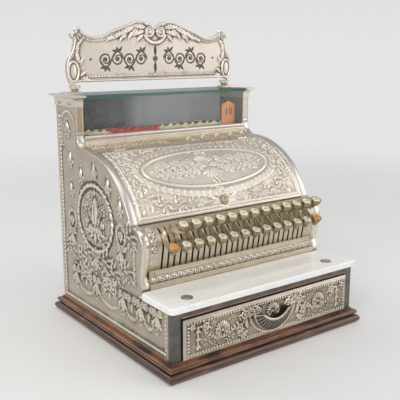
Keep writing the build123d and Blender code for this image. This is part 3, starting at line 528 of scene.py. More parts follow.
class Motif(ABC):
    """A small raised form in its own plane, with its foot at the origin and its axis along u."""

    radius: float

    @property
    def reach(self) -> float:
        """How far the motif extends from its foot."""
        return self.radius

    @abstractmethod
    def heights(self, u: Array, v: Array) -> Array:
        """Height over local points.

        Args:
            u: places along the motif's own axis.
            v: places across it.

        Returns:
            The height at each point.
        """


@dataclass(frozen=True)
class Bud(Motif):
    """A round bead."""

    radius: float
    height: float

    def heights(self, u: Array, v: Array) -> Array:
        """Height over local points: a dome."""
        return self.height * dome((u**2 + v**2) / self.radius**2)


@dataclass(frozen=True)
class Leaf(Motif):
    """A bent acanthus leaf with a vein and scalloped edges, and its tip along u."""

    length: float
    width: float
    height: float
    bend: float = 0.0
    lobes: float = 3.0
    scallop: float = 0.25
    belly: float = 0.75

    @property
    def reach(self) -> float:
        """How far the motif extends from its foot."""
        return self.length * (1.1 + abs(self.bend))

    def heights(self, u: Array, v: Array) -> Array:
        """Height over local points: a dome across each station, less a vein along the bent midrib."""
        t = np.clip(u / self.length, 0.001, 0.999)
        across = v - self.bend * self.length * t**2
        half = 0.5 * self.width * np.sin(np.pi * t**self.belly) ** 0.7
        half = half * (1.0 - self.scallop * (0.5 + 0.5 * np.cos(2.0 * np.pi * self.lobes * t)))
        share = across / np.maximum(half, 0.05)
        body = dome(share**2) * (0.5 + 0.5 * np.sin(np.pi * t))
        rib = 1.0 + 0.16 * np.cos(2.0 * np.pi * (self.lobes * t - 0.5 * np.abs(share)))
        vein = 1.0 - 0.4 * np.exp(-((across / (0.1 * self.width)) ** 2))
        inside = (u > 0.0) & (u < self.length)
        return np.where(inside, self.height * body * rib * vein, 0.0)


@dataclass(frozen=True)
class Volute(Motif):
    """A spiral stem that winds in to an eye, with its outer end on the u axis."""

    radius: float
    stem: float
    height: float
    turns: float = 2.0

    @property
    def reach(self) -> float:
        """How far the motif extends from its foot."""
        return self.radius + self.stem

    def heights(self, u: Array, v: Array) -> Array:
        """Height over local points: a ridge where the radius is a whole number of pitches past the angle."""
        r = np.hypot(u, v)
        pitch = self.radius / self.turns
        phase = r / pitch - np.arctan2(v, u) / (2.0 * np.pi)
        off = np.abs(phase - np.round(phase)) * pitch
        stem = self.stem * (0.55 + 0.45 * r / self.radius)
        line = dome((off / stem) ** 2) * (r < self.radius)
        eye = dome((r / (0.3 * self.radius)) ** 2)
        return self.height * np.maximum(line * (0.65 + 0.35 * r / self.radius), eye)


@dataclass(frozen=True)
class Flower(Motif):
    """A small flower with rounded petals and a bead in the middle."""

    radius: float
    height: float
    petals: int = 5

    def heights(self, u: Array, v: Array) -> Array:
        """Height over local points: a dome whose edge swings in and out round the petals."""
        r = np.hypot(u, v)
        swing = np.abs(np.cos(0.5 * self.petals * np.arctan2(v, u)))
        edge = self.radius * (0.6 + 0.4 * swing)
        petal = dome((r / edge) ** 2) * (0.55 + 0.45 * swing)
        heart = 1.1 * dome((r / (0.3 * self.radius)) ** 2)
        return self.height * np.maximum(petal, heart)


@dataclass(frozen=True)
class Fan(Motif):
    """A shell or palmette: flutes that spread from the origin about the u axis."""

    radius: float
    height: float
    lobes: int = 7
    spread: float = 70.0

    def heights(self, u: Array, v: Array) -> Array:
        """Height over local points: a swelling in the radius times a rounded flute in the angle."""
        r = np.hypot(u, v)
        angle = np.degrees(np.arctan2(v, u))
        flute = np.abs(np.sin(0.5 * np.pi * self.lobes * (angle / self.spread + 1.0)))
        share = unit(r / (self.radius * (0.78 + 0.22 * flute)))
        body = np.sin(np.pi * share**1.4) ** 0.6 * (0.3 + 0.7 * flute)
        return np.where(np.abs(angle) < self.spread, self.height * body, 0.0)


Spray = tuple[tuple[Motif, float, float, float], ...]


def paired(motif: Motif, u: float, v: float, turn: float) -> Spray:
    """A motif and its mirror image across a spray's own axis."""
    return ((motif, u, v, turn), (motif, u, -v, -turn))


FLEUR: Spray = (
    (Bud(2.4, 1.7), 19, 0, 0),
    (Leaf(24, 11, 3.4, 0, 1, 0, 1.5), 16, 0, 180),
    *paired(Volute(5.2, 1.5, 2, 1.6), -4, 7.2, 60),
    *paired(Leaf(13, 6, 2.2, 0.2), -6, 1, 148),
    (Bud(2.8, 2.2), -9, 0, 0),
    (Bud(2, 1.6), -16, 0, 0),
)
HUSK: Spray = (
    *paired(Leaf(11, 5, 1.8, 0.25), 0, 0, 155),
    (Leaf(12, 5, 2.2, 0, 1, 0.1), 1, 0, 180),
    (Bud(2.2, 2), 2, 0, 0),
)
PENDANT: Spray = (
    (Bud(2.6, 2.2), 26, 0, 0),
    *paired(Volute(6.5, 1.7, 2.5), 14, 8.5, 100),
    *paired(Leaf(15, 6.5, 2.3, -0.4), 10, 3, 105),
    (Leaf(36, 12, 3.8, 0, 4, 0.3, 0.7), 14, 0, 180),
    *paired(Leaf(27, 8, 2.9, 0.3, 4), 8, 2, 158),
    *paired(Leaf(18, 6.5, 2.5, 0.35, 3), 0, 3, 132),
    *paired(Flower(3.6, 2.1), -12, 11.5, 0),
    *paired(Bud(1.8, 1.6), -20, 7, 0),
    (Bud(2.6, 2.2), -25, 0, 0),
)
CORNER: Spray = (
    (Leaf(34, 13, 2.4, 0.15, 4), 0, 0, 0),
    (Leaf(27, 10, 2, 0.3, 4), 0, 0, 38),
    (Leaf(27, 10, 2, -0.3, 4), 0, 0, -38),
    *paired(Volute(7, 1.8, 2), 1, 12, 40),
    (Flower(5.5, 2.6, 6), 0, 0, 0),
)
SHELL: Spray = (
    (Fan(17, 3.2, 9, 80), -4, 0, 0),
    *paired(Volute(6, 1.7, 2.3), -5, 9.5, 30),
    *paired(Leaf(17, 7, 2.2, 0.3), -8, 3, 125),
    (Bud(3, 2.6), -5, 0, 0),
)


@dataclass
class Relief:
    """A height field over a patch: a runs across it and b up it, all in millimetres."""

    a: Array
    b: Array
    h: Array = field(init=False)

    def __post_init__(self) -> None:
        """Start with a flat ground."""
        self.h = np.zeros_like(self.a)

    @classmethod
    def over(cls, half: float, step: float, rows: Array) -> "Relief":
        """A flat field from minus half to half across, with given rows."""
        return cls(*np.meshgrid(even(-half, half, step), rows))

    def lift(self, heights: Array) -> None:
        """Keep the higher of the field and some heights."""
        self.h = np.maximum(self.h, heights)

    def stamp(self, motif: Motif, a: float, b: float, turn: float = 0.0, hand: float = 1.0) -> None:
        """Press one motif into the field.

        Args:
            motif: what to add.
            a: the foot's place across.
            b: the foot's place up.
            turn: degrees from the a axis to the motif's own axis.
            hand: minus one for a mirror image left to right.
        """
        reach = motif.reach
        near = np.nonzero((np.abs(self.a - a) < reach) & (np.abs(self.b - b) < reach))
        across = (self.a[near] - a) * hand
        up = self.b[near] - b
        c, s = direction(turn)
        heights = motif.heights(c * across + s * up, c * up - s * across)
        self.h[near] = np.maximum(self.h[near], heights)

    def spray(self, spray: Spray, a: float, b: float, turn: float = 90.0) -> None:
        """Press a group of motifs into the field.

        Args:
            spray: the motifs and their places along and across the group's own axis.
            a: the group's place across.
            b: the group's place up.
            turn: degrees from the a axis to the group's axis.
        """
        c, s = direction(turn)
        for motif, u, v, own in spray:
            self.stamp(motif, a + (c * u - s * v), b + s * u + c * v, turn + own)

    def beads(self, start: Pair, end: Pair, pitch: float, radius: float, strip: float = 0.0) -> None:
        """A straight row of beads, a dome about each whole step along the line, on a flat strip.

        Args:
            start: the first bead's place.
            end: the last bead's place.
            pitch: the spacing, made even over the row.
            radius: a bead's radius.
            strip: the strip's height, or zero for none.
        """
        strip_half, bevel = 2.6, 0.4
        run = np.subtract(end, start)
        length = float(np.hypot(*run))
        step = length / max(1, round(length / pitch))
        along = ((self.a - start[0]) * run[0] + (self.b - start[1]) * run[1]) / length
        across = ((self.b - start[1]) * run[0] - (self.a - start[0]) * run[1]) / length
        nearest = np.clip(np.round(along / step) * step, 0.0, length)
        self.lift(radius * 0.9 * dome(((along - nearest) ** 2 + across**2) / radius**2))
        inside = (along > -radius) & (along < length + radius)
        self.lift(np.where(inside, strip * unit((strip_half - np.abs(across)) / bevel), 0.0))

    def bead_frame(self, low: Pair, high: Pair, pitch: float, radius: float, strip: float = 0.0) -> None:
        """Rows of beads along the four sides of a rectangle.

        Args:
            low: the rectangle's low corner.
            high: its high corner.
            pitch: the beads' spacing.
            radius: a bead's radius.
            strip: the height of the strips under them.
        """
        corners = [tuple(low), (high[0], low[1]), tuple(high), (low[0], high[1])]
        for start, end in zip(corners, corners[1:] + corners[:1]):
            self.beads(start, end, pitch, radius, strip)

    def oval_share(self, centre: Pair, half: Pair) -> Array:
        """How far out each point lies in an oval: one on its edge."""
        return np.hypot((self.a - centre[0]) / half[0], (self.b - centre[1]) / half[1])

    def oval_off(self, centre: Pair, half: Pair) -> Array:
        """Distance out from an oval's edge: the oval's share, less one, over its slope.

        Args:
            centre: the oval's middle.
            half: its half sizes.

        Returns:
            The distance at each point, negative inside.
        """
        share = self.oval_share(centre, half)
        slope = np.hypot((self.a - centre[0]) / half[0] ** 2, (self.b - centre[1]) / half[1] ** 2)
        return (share - 1.0) * share / np.maximum(slope, 1e-6)

    def oval_rim(self, centre: Pair, half: Pair, width: float, height: float) -> None:
        """A half-round rim along an oval."""
        self.lift(ridge(self.oval_off(centre, half), width, height))

    def wreath(self, centre: Pair, half: Pair, count: int, size: float) -> None:
        """A wreath of small overlapping leaves and berries on a low oval band.

        Args:
            centre: the oval's middle.
            half: its half sizes.
            count: how many pairs of leaves go round.
            size: a leaf's length.
        """
        band_half, bevel = 6.6, 0.6
        self.lift(unit((band_half - np.abs(self.oval_off(centre, half))) / bevel))
        for tilt in (32, -34):
            leaf = Leaf(size, size * 0.55, 2.3, math.copysign(0.25, tilt))
            self.around(leaf, centre, half, count, tilt)
        self.around(Bud(size * 0.17, 2.2), centre, half, count)

    def around(self, motif: Motif, centre: Pair, half: Pair, count: int, tilt: float = 0.0) -> None:
        """A ring of motifs at even steps along an oval.

        Args:
            motif: what to repeat.
            centre: the oval's middle.
            half: its half sizes.
            count: how many go round.
            tilt: degrees that each leans from the oval.
        """
        fine = np.linspace(0.0, 2.0 * np.pi, 721)
        run = np.hypot(np.diff(half[0] * np.cos(fine)), np.diff(half[1] * np.sin(fine)))
        run = np.concatenate([[0.0], np.cumsum(run)])
        for angle in np.interp(np.arange(count) / count * run[-1], run, fine):
            a, b = half[0] * math.cos(angle), half[1] * math.sin(angle)
            lead = math.degrees(math.atan2(half[1] * math.cos(angle), -half[0] * math.sin(angle)))
            self.stamp(motif, centre[0] + a, centre[1] + b, lead + tilt)

    def swag(self, start: Pair, end: Pair, drop: float, size: float) -> None:
        """A hanging garland of flowers and leaves along a parabola, fullest in the middle.

        Args:
            start: one end's place.
            end: the other end's place.
            drop: how far it hangs below its ends.
            size: a flower's radius.
        """
        count = max(5, round(math.dist(start, end) / (size * 1.5)))
        for k in range(count + 1):
            t = k / count
            full = 0.65 + 1.4 * t * (1.0 - t)
            a = start[0] + (end[0] - start[0]) * t
            b = start[1] + (end[1] - start[1]) * t - 4.0 * drop * t * (1.0 - t)
            lean = math.degrees(math.atan2(-4.0 * drop * (1.0 - 2.0 * t), end[0] - start[0]))
            self.stamp(Flower(size * full, 2.3 * full), a, b, 30.0 * k)
            self.stamp(Leaf(size * 1.9 * full, size * full, 1.8, 0.2), a, b, lean - 105.0)
            self.stamp(Leaf(size * 1.5 * full, size * 0.8 * full, 1.5, -0.2), a, b, lean + 80.0)

    def vine(self, start: float, end: float, b: float, swing: float, wave: float, stem: float) -> None:
        """A waving stem with a volute in each bend and leaves on its crests: b plus swing times a sine.

        Args:
            start: where the stem starts across.
            end: where it ends.
            b: the height that it waves about.
            swing: how far it waves.
            wave: the length of a whole wave.
            stem: half the stem's width.
        """
        turn = 2.0 * np.pi / wave
        line = b + swing * np.sin(turn * np.abs(self.a - start))
        slope = swing * turn * np.cos(turn * (self.a - start))
        off = (self.b - line) / np.sqrt(1.0 + slope**2)
        run = (self.a > min(start, end)) & (self.a < max(start, end))
        self.lift(np.where(run, ridge(off, stem, stem * 0.9), 0.0))
        step = math.copysign(wave / 2.0, end - start)
        for k in range(int(abs(end - start) / (wave / 2.0))):
            side = 1.0 if k % 2 == 0 else -1.0
            a = start + step * (k + 0.5)
            hand = side * math.copysign(1.0, step)
            self.stamp(Volute(swing * 0.95, stem, stem * 1.2), a, b + side * swing * 0.05, 90.0 * side, hand)
            for lean, long in ((35, 1.1), (90, 0.8), (150, 1.0)):
                tip = Leaf(swing * long, swing * 0.5, stem * 1.2, 0.25 * side)
                self.stamp(tip, a, b + side * swing * 0.9, side * lean)

    def posy(self, a: float, b: float, size: float, hand: float = 1.0, height: float = 2.7) -> None:
        """A loose cluster of leaves and small flowers, each turned by the golden angle from the last.

        Args:
            a: the cluster's place across.
            b: its place up.
            size: its radius.
            hand: minus one for a mirror image left to right.
            height: the leaves' height.
        """
        for k in range(14):
            angle = 137.5 * k
            out = 0.25 * size * math.sqrt(k)
            c, s = direction(angle)
            across = a + hand * out * c
            up = b + out * s
            bend = 0.35 if k % 2 else -0.35
            self.stamp(Leaf(size * 0.5, size * 0.21, height, bend), across, up, angle + 25.0, hand)
            if k % 3 == 0:
                self.stamp(Flower(size * 0.14, height * 1.1), across, up)

    def wear(self, reach: int = 4) -> Array:
        """Zero in hollows, a half on plain ground and one on crests: the field less its own blur.

        Args:
            reach: the blur's half width, in grid steps.

        Returns:
            The wear at every point.
        """
        smooth = self.h
        for axis in (0, 1, 0, 1):
            pad = [(reach + 1, reach) if k == axis else (0, 0) for k in (0, 1)]
            total = np.cumsum(np.pad(smooth, pad, mode="edge"), axis=axis)
            high = np.take(total, range(2 * reach + 1, total.shape[axis]), axis=axis)
            low = np.take(total, range(total.shape[axis] - 2 * reach - 1), axis=axis)
            smooth = (high - low) / (2 * reach + 1)
        return unit(0.56 + 0.55 * (self.h - smooth))

    def settle(self, edge: int = 2, sink: float = 0.5, ground: float = 0.12) -> None:
        """Stand the field a hair above the casting and sink its border into it.

        Args:
            edge: the border's width, in grid steps.
            sink: how deep the border goes.
            ground: how far plain ground stands above the casting.
        """
        rows, columns = self.h.shape
        i = np.minimum(np.arange(rows), np.arange(rows)[::-1])[:, None]
        j = np.minimum(np.arange(columns), np.arange(columns)[::-1])[None, :]
        keep = unit(np.minimum(i, j) / edge)
        self.h = (self.h + ground) * keep - sink * (1.0 - keep)


class Slot(Enum):
    """The record's material slots, which new pieces are handed but nothing reads."""

    NICKEL = "nickel"
    KEY = "key_metal"
    TABLETS = "tablet_enamel"
    RAISED = "tablet_orange"
    PALE_WOOD = "pale_wood"
    BRASS = "brass"


def in_scene(name: str, data: bpy.types.ID) -> bpy.types.Object:
    """Put a new object in the scene.

    Args:
        name: the object's name.
        data: its mesh, lamp or camera.

    Returns:
        The object.
    """
    thing = bpy.data.objects.new(name, data)
    bpy.context.scene.collection.objects.link(thing)
    return thing


@dataclass(frozen=True)
class Piece:
    """A finished mesh: its points, its faces and what each point or face carries."""

    name: str
    points: Array
    faces: list[Sequence[int]]
    attributes: dict[str, Array] = field(default_factory=dict)
    face_finish: Array | None = None

    def place(
        self,
        materials: Sequence[bpy.types.Material],
        body: str = "case",
        slot: Slot = Slot.NICKEL,
        smooth: bool = True,
    ) -> bpy.types.Object:
        """Make the object and let it ride.

        Args:
            materials: the finishes, in the order that face_finish counts them.
            body: the body that the piece moves with.
            slot: the record's material slot; not used.
            smooth: whether its faces are shaded smooth.

        Returns:
            The object.
        """
        mesh = bpy.data.meshes.new(self.name)
        mesh.from_pydata((self.points * MM).tolist(), [], self.faces)
        for key, values in self.attributes.items():
            layer = mesh.attributes.new(key, "FLOAT", "POINT")
            layer.data.foreach_set("value", values.astype(np.float32))
        mesh.polygons.foreach_set("use_smooth", np.full(len(mesh.polygons), smooth))
        for material in materials:
            mesh.materials.append(material)
        if self.face_finish is not None:
            mesh.polygons.foreach_set("material_index", self.face_finish.astype(np.int32))
        mesh.update()
        thing = in_scene(self.name, mesh)
        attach(thing, body)
        LOG.info("%s: %d faces on %s", self.name, len(mesh.polygons), body)
        return thing


def grid_faces(rows: int, columns: int, first: int = 0) -> Array:
    """Four-sided faces of a grid of points that are numbered row by row."""
    index = np.arange(rows * columns).reshape(rows, columns) + first
    return np.stack([index[:-1, :-1], index[:-1, 1:], index[1:, 1:], index[1:, :-1]], -1).reshape(-1, 4)


def outward(points: Array, faces: list[Sequence[int]]) -> list[Sequence[int]]:
    """Turn every face round if the first ones make the closed piece inside out.

    The signed volume of fans from the origin tells which way the faces point.

    Args:
        points: all points.
        faces: all faces, in one sense of rotation.

    Returns:
        The faces, pointing outwards.
    """
    middle = points - points.mean(0)
    volume = 0.0
    quads = np.array([f for f in faces if len(f) == 4])
    for k in (1, 2):
        corners = middle[quads[:, [0, k, k + 1]]]
        volume += float(np.einsum("ij,ij->", corners[:, 0], np.cross(corners[:, 1], corners[:, 2])))
    for face in (f for f in faces if len(f) > 4):
        ring = middle[np.array(face)]
        fan = np.cross(ring[1:-1] - ring[0], ring[2:] - ring[0])
        volume += float(np.einsum("j,ij->", ring[0], fan))
    return faces if volume > 0 else [tuple(reversed(f)) for f in faces]


def slab(name: str, top: Array, base: Array, **attributes: Array) -> Piece:
    """A closed piece between a grid of outer points and a base that is straight along each row.

    Args:
        name: the piece's name.
        top: outer points, rows by columns by three.
        base: inner points in the same layout.
        attributes: a number for every outer point; inner points take the lowest value.

    Returns:
        The piece.
    """
    rows, columns = top.shape[:2]
    count = rows * columns
    number = np.arange(count).reshape(rows, columns)
    under = number + count
    first = [*under[0, :], *under[1, [-1, 0]]]
    last = [*under[-2, [0, -1]], *under[-1, ::-1]]
    middle = np.stack([under[1:-2, 0], under[1:-2, -1], under[2:-1, -1], under[2:-1, 0]], -1)
    ring = np.concatenate([number[0, :], number[1:, -1], number[-1, -2::-1], number[-2:0:-1, 0]])
    after = np.roll(ring, -1)
    faces: list[Sequence[int]] = grid_faces(rows, columns).tolist()
    faces += [f[::-1] for f in [first, *middle.tolist(), last]]
    faces += np.stack([ring, ring + count, after + count, after], -1).tolist()
    used = np.zeros(2 * count, bool)
    used[:count] = True
    used[under[:, [0, -1]]] = True
    used[under[[0, -1], :]] = True
    renumber = np.cumsum(used) - 1
    points = np.concatenate([top.reshape(-1, 3), base.reshape(-1, 3)])[used]
    data = {k: np.concatenate([v.ravel(), np.full(count, v.min())])[used] for k, v in attributes.items()}
    return Piece(name, points, outward(points, [renumber[np.array(f)].tolist() for f in faces]), data)


def cut_slab(name: str, top: Array, base: Array, keep: Array, **attributes: Array) -> Piece:
    """A closed piece between two full grids that has only some of the grid's cells.

    A wall stands on every cell side whose neighbour isn't kept.

    Args:
        name: the piece's name.
        top: outer points, rows by columns by three.
        base: inner points in the same layout.
        keep: which cells are kept, one row and one column fewer.
        attributes: a number for every outer point; inner points take the lowest value.

    Returns:
        The piece.
    """
    rows, columns = top.shape[:2]
    count = rows * columns
    number = np.arange(count).reshape(rows, columns)
    cells = grid_faces(rows, columns)[keep.ravel()]
    wide = np.pad(keep, 1)
    walls = []
    for shift, start, end in (
        ((0, 1), number[:-1, :-1], number[:-1, 1:]),
        ((1, 2), number[:-1, 1:], number[1:, 1:]),
        ((2, 1), number[1:, 1:], number[1:, :-1]),
        ((1, 0), number[1:, :-1], number[:-1, :-1]),
    ):
        beside = wide[shift[0] : shift[0] + rows - 1, shift[1] : shift[1] + columns - 1]
        edge = keep & ~beside
        walls.append(np.stack([start[edge], start[edge] + count, end[edge] + count, end[edge]], -1))
    quads = np.concatenate([cells, cells[:, ::-1] + count, *walls])
    used = np.zeros(2 * count, bool)
    used[quads.ravel()] = True
    renumber = np.cumsum(used) - 1
    points = np.concatenate([top.reshape(-1, 3), base.reshape(-1, 3)])[used]
    data = {k: np.concatenate([v.ravel(), np.full(count, v.min())])[used] for k, v in attributes.items()}
    return Piece(name, points, outward(points, renumber[quads].tolist()), data)


def moved(points: Array, place: Matrix) -> Array:
    """Points carried from a piece's own frame to its place."""
    return points @ np.array(place.to_3x3()).T + np.array(place.translation)


def turned(
    name: str, profile: Sequence[Sequence[float]], sides: int, place: Matrix, finishes: Sequence[int] = ()
) -> Piece:
    """A closed piece turned about its own z axis from (radius, height) points that start and end on it.

    Args:
        name: the piece's name.
        profile: points from the axis at the bottom to the axis at the top.
        sides: how many sides the turning has.
        place: where the piece goes, in millimetres.
        finishes: the finish of each band between two profile points.

    Returns:
        The piece.
    """
    line = np.array(profile[1:-1], float)
    angle = np.arange(sides) / sides * 2.0 * np.pi
    ring = np.stack([np.cos(angle), np.sin(angle)], -1)
    xy = line[:, None, 0, None] * ring[None]
    z = np.broadcast_to(line[:, 1, None, None], (*xy.shape[:2], 1))
    body = np.concatenate([xy, z], -1).reshape(-1, 3)
    points = np.concatenate([body, [[0, 0, profile[0][1]], [0, 0, profile[-1][1]]]])
    column = np.arange(sides)
    after = np.roll(column, -1)
    bands = np.arange(len(line) - 1)[:, None] * sides
    quads = np.stack([bands + column, bands + after, bands + after + sides, bands + column + sides], -1)
    low, high = len(body), len(body) + 1
    top = (len(line) - 1) * sides
    foot = np.stack([np.full(sides, low), after, column], -1)
    crown = np.stack([np.full(sides, high), top + column, top + after], -1)
    faces: list[Sequence[int]] = [*foot.tolist(), *quads.reshape(-1, 4).tolist(), *crown.tolist()]
    share = np.repeat(np.array(finishes or [0] * (len(line) + 1)), sides)
    return Piece(name, moved(points, place), faces, {}, share)


def hoop(name: str, loop: Sequence[Sequence[float]], sides: int, place: Matrix) -> Piece:
    """A closed ring turned about its own z axis from a loop of (radius, height) points.

    Args:
        name: the piece's name.
        loop: the section's points, all off the axis.
        sides: how many sides the turning has.
        place: where the piece goes, in millimetres.

    Returns:
        The piece.
    """
    line = np.array(loop, float)
    angle = np.arange(sides)[:, None] / sides * 2.0 * np.pi
    radius, height = line[None, :, 0], line[None, :, 1]
    points = xyz(radius * np.cos(angle), radius * np.sin(angle), height)
    points = moved(points.reshape(-1, 3), place)
    index = np.arange(sides * len(line)).reshape(sides, len(line))
    after, up = np.roll(index, -1, 0), np.roll(index, -1, 1)
    quads = np.stack([index, after, np.roll(after, -1, 1), up], -1).reshape(-1, 4)
    return Piece(name, points, outward(points, quads.tolist()))


def polar_grid(radius: float, rings: int = 22, spokes: int = 72) -> tuple[Array, Array]:
    """Points of a disc on rings and spokes: radius times the cosine and sine of the angle.

    Args:
        radius: the disc's radius.
        rings: how many rings it has.
        spokes: how many points lie on each.

    Returns:
        The points across and up.
    """
    r = np.linspace(0.02, 1.0, rings)[:, None] * radius
    angle = np.arange(spokes)[None, :] / spokes * 2.0 * np.pi
    return r * np.cos(angle), r * np.sin(angle)


def polar_cap(
    name: str, place: Matrix, u: Array, v: Array, height: Array, depth: float, **attributes: Array
) -> Piece:
    """A closed cap over a disc, with a wall that goes down by a depth.

    Args:
        name: the piece's name.
        place: where the cap goes, with local z outwards, in millimetres.
        u: the disc's points across, rings by spokes.
        v: the disc's points up.
        height: the cap's height at each point.
        depth: how far its wall goes below zero.
        attributes: a number for every point of the cap.

    Returns:
        The piece.
    """
    rings, spokes = u.shape
    top = xyz(u, v, height).reshape(-1, 3)
    low = xyz(u[-1], v[-1], -depth)
    index = np.arange(rings * spokes).reshape(rings, spokes)
    after = np.roll(index, -1, 1)
    quads = np.stack([index[:-1], index[1:], after[1:], after[:-1]], -1).reshape(-1, 4)
    ring, lowered = index[-1], np.arange(spokes) + rings * spokes
    wall = np.stack([ring, lowered, np.roll(lowered, -1), np.roll(ring, -1)], -1)
    faces = [*quads.tolist(), *wall.tolist(), index[0].tolist(), lowered[::-1].tolist()]
    points = moved(np.concatenate([top, low]), place)
    data = {k: np.concatenate([a.ravel(), np.full(spokes, a.min())]) for k, a in attributes.items()}
    return Piece(name, points, faces, data)


def tilt_at(x: float, y: float, z: float, tilt: float) -> Matrix:
    """A place turned about X by a tilt in degrees."""
    return Matrix.Translation((x, y, z)) @ Matrix.Rotation(math.radians(tilt), 4, "X")


def numeral(name: str, text: str, size: float, place: Matrix) -> Piece:
    """A thin raised number, centred on the local origin and read from local +z.

    Args:
        name: the piece's name.
        text: the digits.
        size: the digits' height in millimetres.
        place: where the number goes, in millimetres.

    Returns:
        The piece.
    """
    curve = bpy.data.curves.new(name, "FONT")
    curve.body = text
    curve.size = size
    curve.extrude = 0.12
    curve.align_x = "CENTER"
    curve.align_y = "CENTER"
    curve.resolution_u = 3
    holder = bpy.data.objects.new(name, curve)
    mesh = bpy.data.meshes.new_from_object(holder)
    points = np.empty(len(mesh.vertices) * 3)
    mesh.vertices.foreach_get("co", points)
    faces = [tuple(p.vertices) for p in mesh.polygons]
    bpy.data.objects.remove(holder)
    bpy.data.curves.remove(curve)
    bpy.data.meshes.remove(mesh)
    return Piece(name, moved(points.reshape(-1, 3), place), faces)


@dataclass
class Cabinet:
    """The cabinet's main sizes in millimetres, which the other classes share; centres are (y, z)."""

    half_width: float = 215.0
    front_y: float = -202.5
    back_y: float = 202.5
    base_top: float = 29.5
    shelf_bottom: float = 118.0
    lower_setback: float = 12.5
    lid: tuple[float, float] = (90.8, 171.7)
    lid_radius: float = 178.4
    bed: tuple[float, float] = (-80.01, 203.0)
    bed_radius: float = 33.0
    bed_top: float = 236.0
    toe: tuple[float, float] = (-103.51, 152.0)
    foot: tuple[float, float] = (-110.01, 135.0)
    neck: tuple[float, float] = (94.0, 375.075)
    neck_radius: float = 25.0
    neck_start: float = 350.08
    column_y: float = 119.0
    column_top: float = 429.575
    hinge_x: float = 152.0
    hinge_half: float = 17.0

    def front_edge(self, z: Array) -> Array:
        """The side casting's front edge, along lines and three arcs.

        Args:
            z: the heights.

        Returns:
            The edge's y at each height.
        """
        (bed_y, bed_z), (lid_y, lid_z), (neck_y, neck_z) = self.bed, self.lid, self.neck
        bed = bed_y - np.sqrt(np.clip(self.bed_radius**2 - (z - bed_z) ** 2, 0.0, None))
        lid = lid_y - np.sqrt(np.clip(self.lid_radius**2 - (z - lid_z) ** 2, 0.0, None))
        neck = neck_y + np.sqrt(np.clip(self.neck_radius**2 - (neck_z - z) ** 2, 0.0, None))
        toe_run = (z - self.foot[1]) / (self.toe[1] - self.foot[1])
        foot = self.foot[0] + toe_run * (self.toe[0] - self.foot[0])
        bed_run = (z - self.toe[1]) / (bed_z - self.toe[1])
        slope = self.toe[0] + bed_run * (bed_y - self.bed_radius - self.toe[0])
        tops = (self.shelf_bottom, self.foot[1], self.toe[1], bed_z, self.bed_top, self.neck_start, neck_z)
        runs = (self.front_y + self.lower_setback, self.foot[0], foot, slope, bed, lid, neck)
        runs = [np.broadcast_to(run, z.shape) for run in runs]
        return np.select([z < top for top in tops], runs, self.column_y)

    def hinges(self, x: Array) -> Array:
        """Which places across lie under one of the lid's hinges."""
        return np.abs(np.abs(x) - self.hinge_x) < self.hinge_half


CABINET = Cabinet()


def carried(
    name: str, x: Array, path: Array, lean: Array, height: Array, sink: float, **attributes: Array
) -> Piece:
    """A closed sheet that is straight along X: a path in (y, z) plus the height times its normal.

    Args:
        name: the piece's name.
        x: each point's place across, rows by columns.
        path: the path's (y, z) points, one for each row.
        lean: the outward (y, z) normal at each of them.
        height: each point's height over the path.
        sink: how deep the back goes below the path.
        attributes: a number for every outer point.

    Returns:
        The piece.
    """
    top = path[:, None, :] + lean[:, None, :] * height[..., None]
    base = np.broadcast_to((path - lean * sink)[:, None, :], top.shape)
    wide = x[..., None]
    return slab(name, np.concatenate([wide, top], -1), np.concatenate([wide, base], -1), **attributes)


def across_path(
    name: str, path: Array, lean: Array, relief: Relief, sink: float, reach: int, shade: Array | float = 0.0
) -> Piece:
    """A relief on a sheet that follows a path.

    Args:
        name: the piece's name.
        path: the path's (y, z) points, one for each row of the relief.
        lean: the outward (y, z) normal at each point.
        relief: the heights; its a is x.
        sink: how deep the back goes below the path.
        reach: the wear's blur, in grid steps.
        shade: what is taken from the wear to darken a place.

    Returns:
        The piece.
    """
    wear = unit(relief.wear(reach) - shade)
    relief.settle(sink=min(0.5, 0.6 * sink))
    return carried(name, relief.a, path, lean, relief.h, sink, wear=wear)


def on_face(name: str, relief: Relief, face_y: float, out: float) -> Piece:
    """A relief on an upright face: y is the face's plus the height, outwards.

    Args:
        name: the piece's name.
        relief: the heights; its a is x and its b is z.
        face_y: where the face lies.
        out: one for a face that looks to the back, minus one for the front.

    Returns:
        The piece.
    """
    wear = relief.wear()
    relief.settle()
    top = xyz(relief.a, face_y + out * relief.h, relief.b)
    base = xyz(relief.a, face_y - out * RELIEF_SINK, relief.b)
    return slab(name, top, base, wear=wear)


def arc_path(
    centre: Pair, radius: float, start: float, end: float, step: float
) -> tuple[Array, Array, Array]:
    """Points and outward normals of an arc.

    Args:
        centre: the arc's (y, z) centre.
        radius: its radius.
        start: its first angle in degrees.
        end: its last angle.
        step: the spacing of the points.

    Returns:
        The points, the normals and the run along the arc.
    """
    count = max(2, round(abs(math.radians(end - start)) * radius / step))
    angle = np.radians(np.linspace(start, end, count + 1))
    lean = np.stack([np.cos(angle), np.sin(angle)], -1)
    return np.array(centre) + radius * lean, lean, radius * np.abs(angle - angle[0])


def straight_path(start: Pair, end: Pair, step: float) -> tuple[Array, Array]:
    """Points after the start of a straight run, and the normal beside it.

    Args:
        start: the run's first (y, z) point, which is left out.
        end: its last point.
        step: the spacing of the points.

    Returns:
        The points and the normals.
    """
    run = np.subtract(end, start)
    length = float(np.hypot(*run))
    t = np.linspace(0.0, 1.0, max(2, round(length / step)) + 1)[1:, None]
    return np.array(start) + run * t, np.broadcast_to(np.array([run[1], -run[0]]) / length, (len(t), 2))


class SubAssembly(ABC):
    """New pieces that dress one part of the register."""

    @abstractmethod
    def build(self, palette: Palette) -> None:
        """Make the pieces and let them ride.

        Args:
            palette: the finishes.
        """


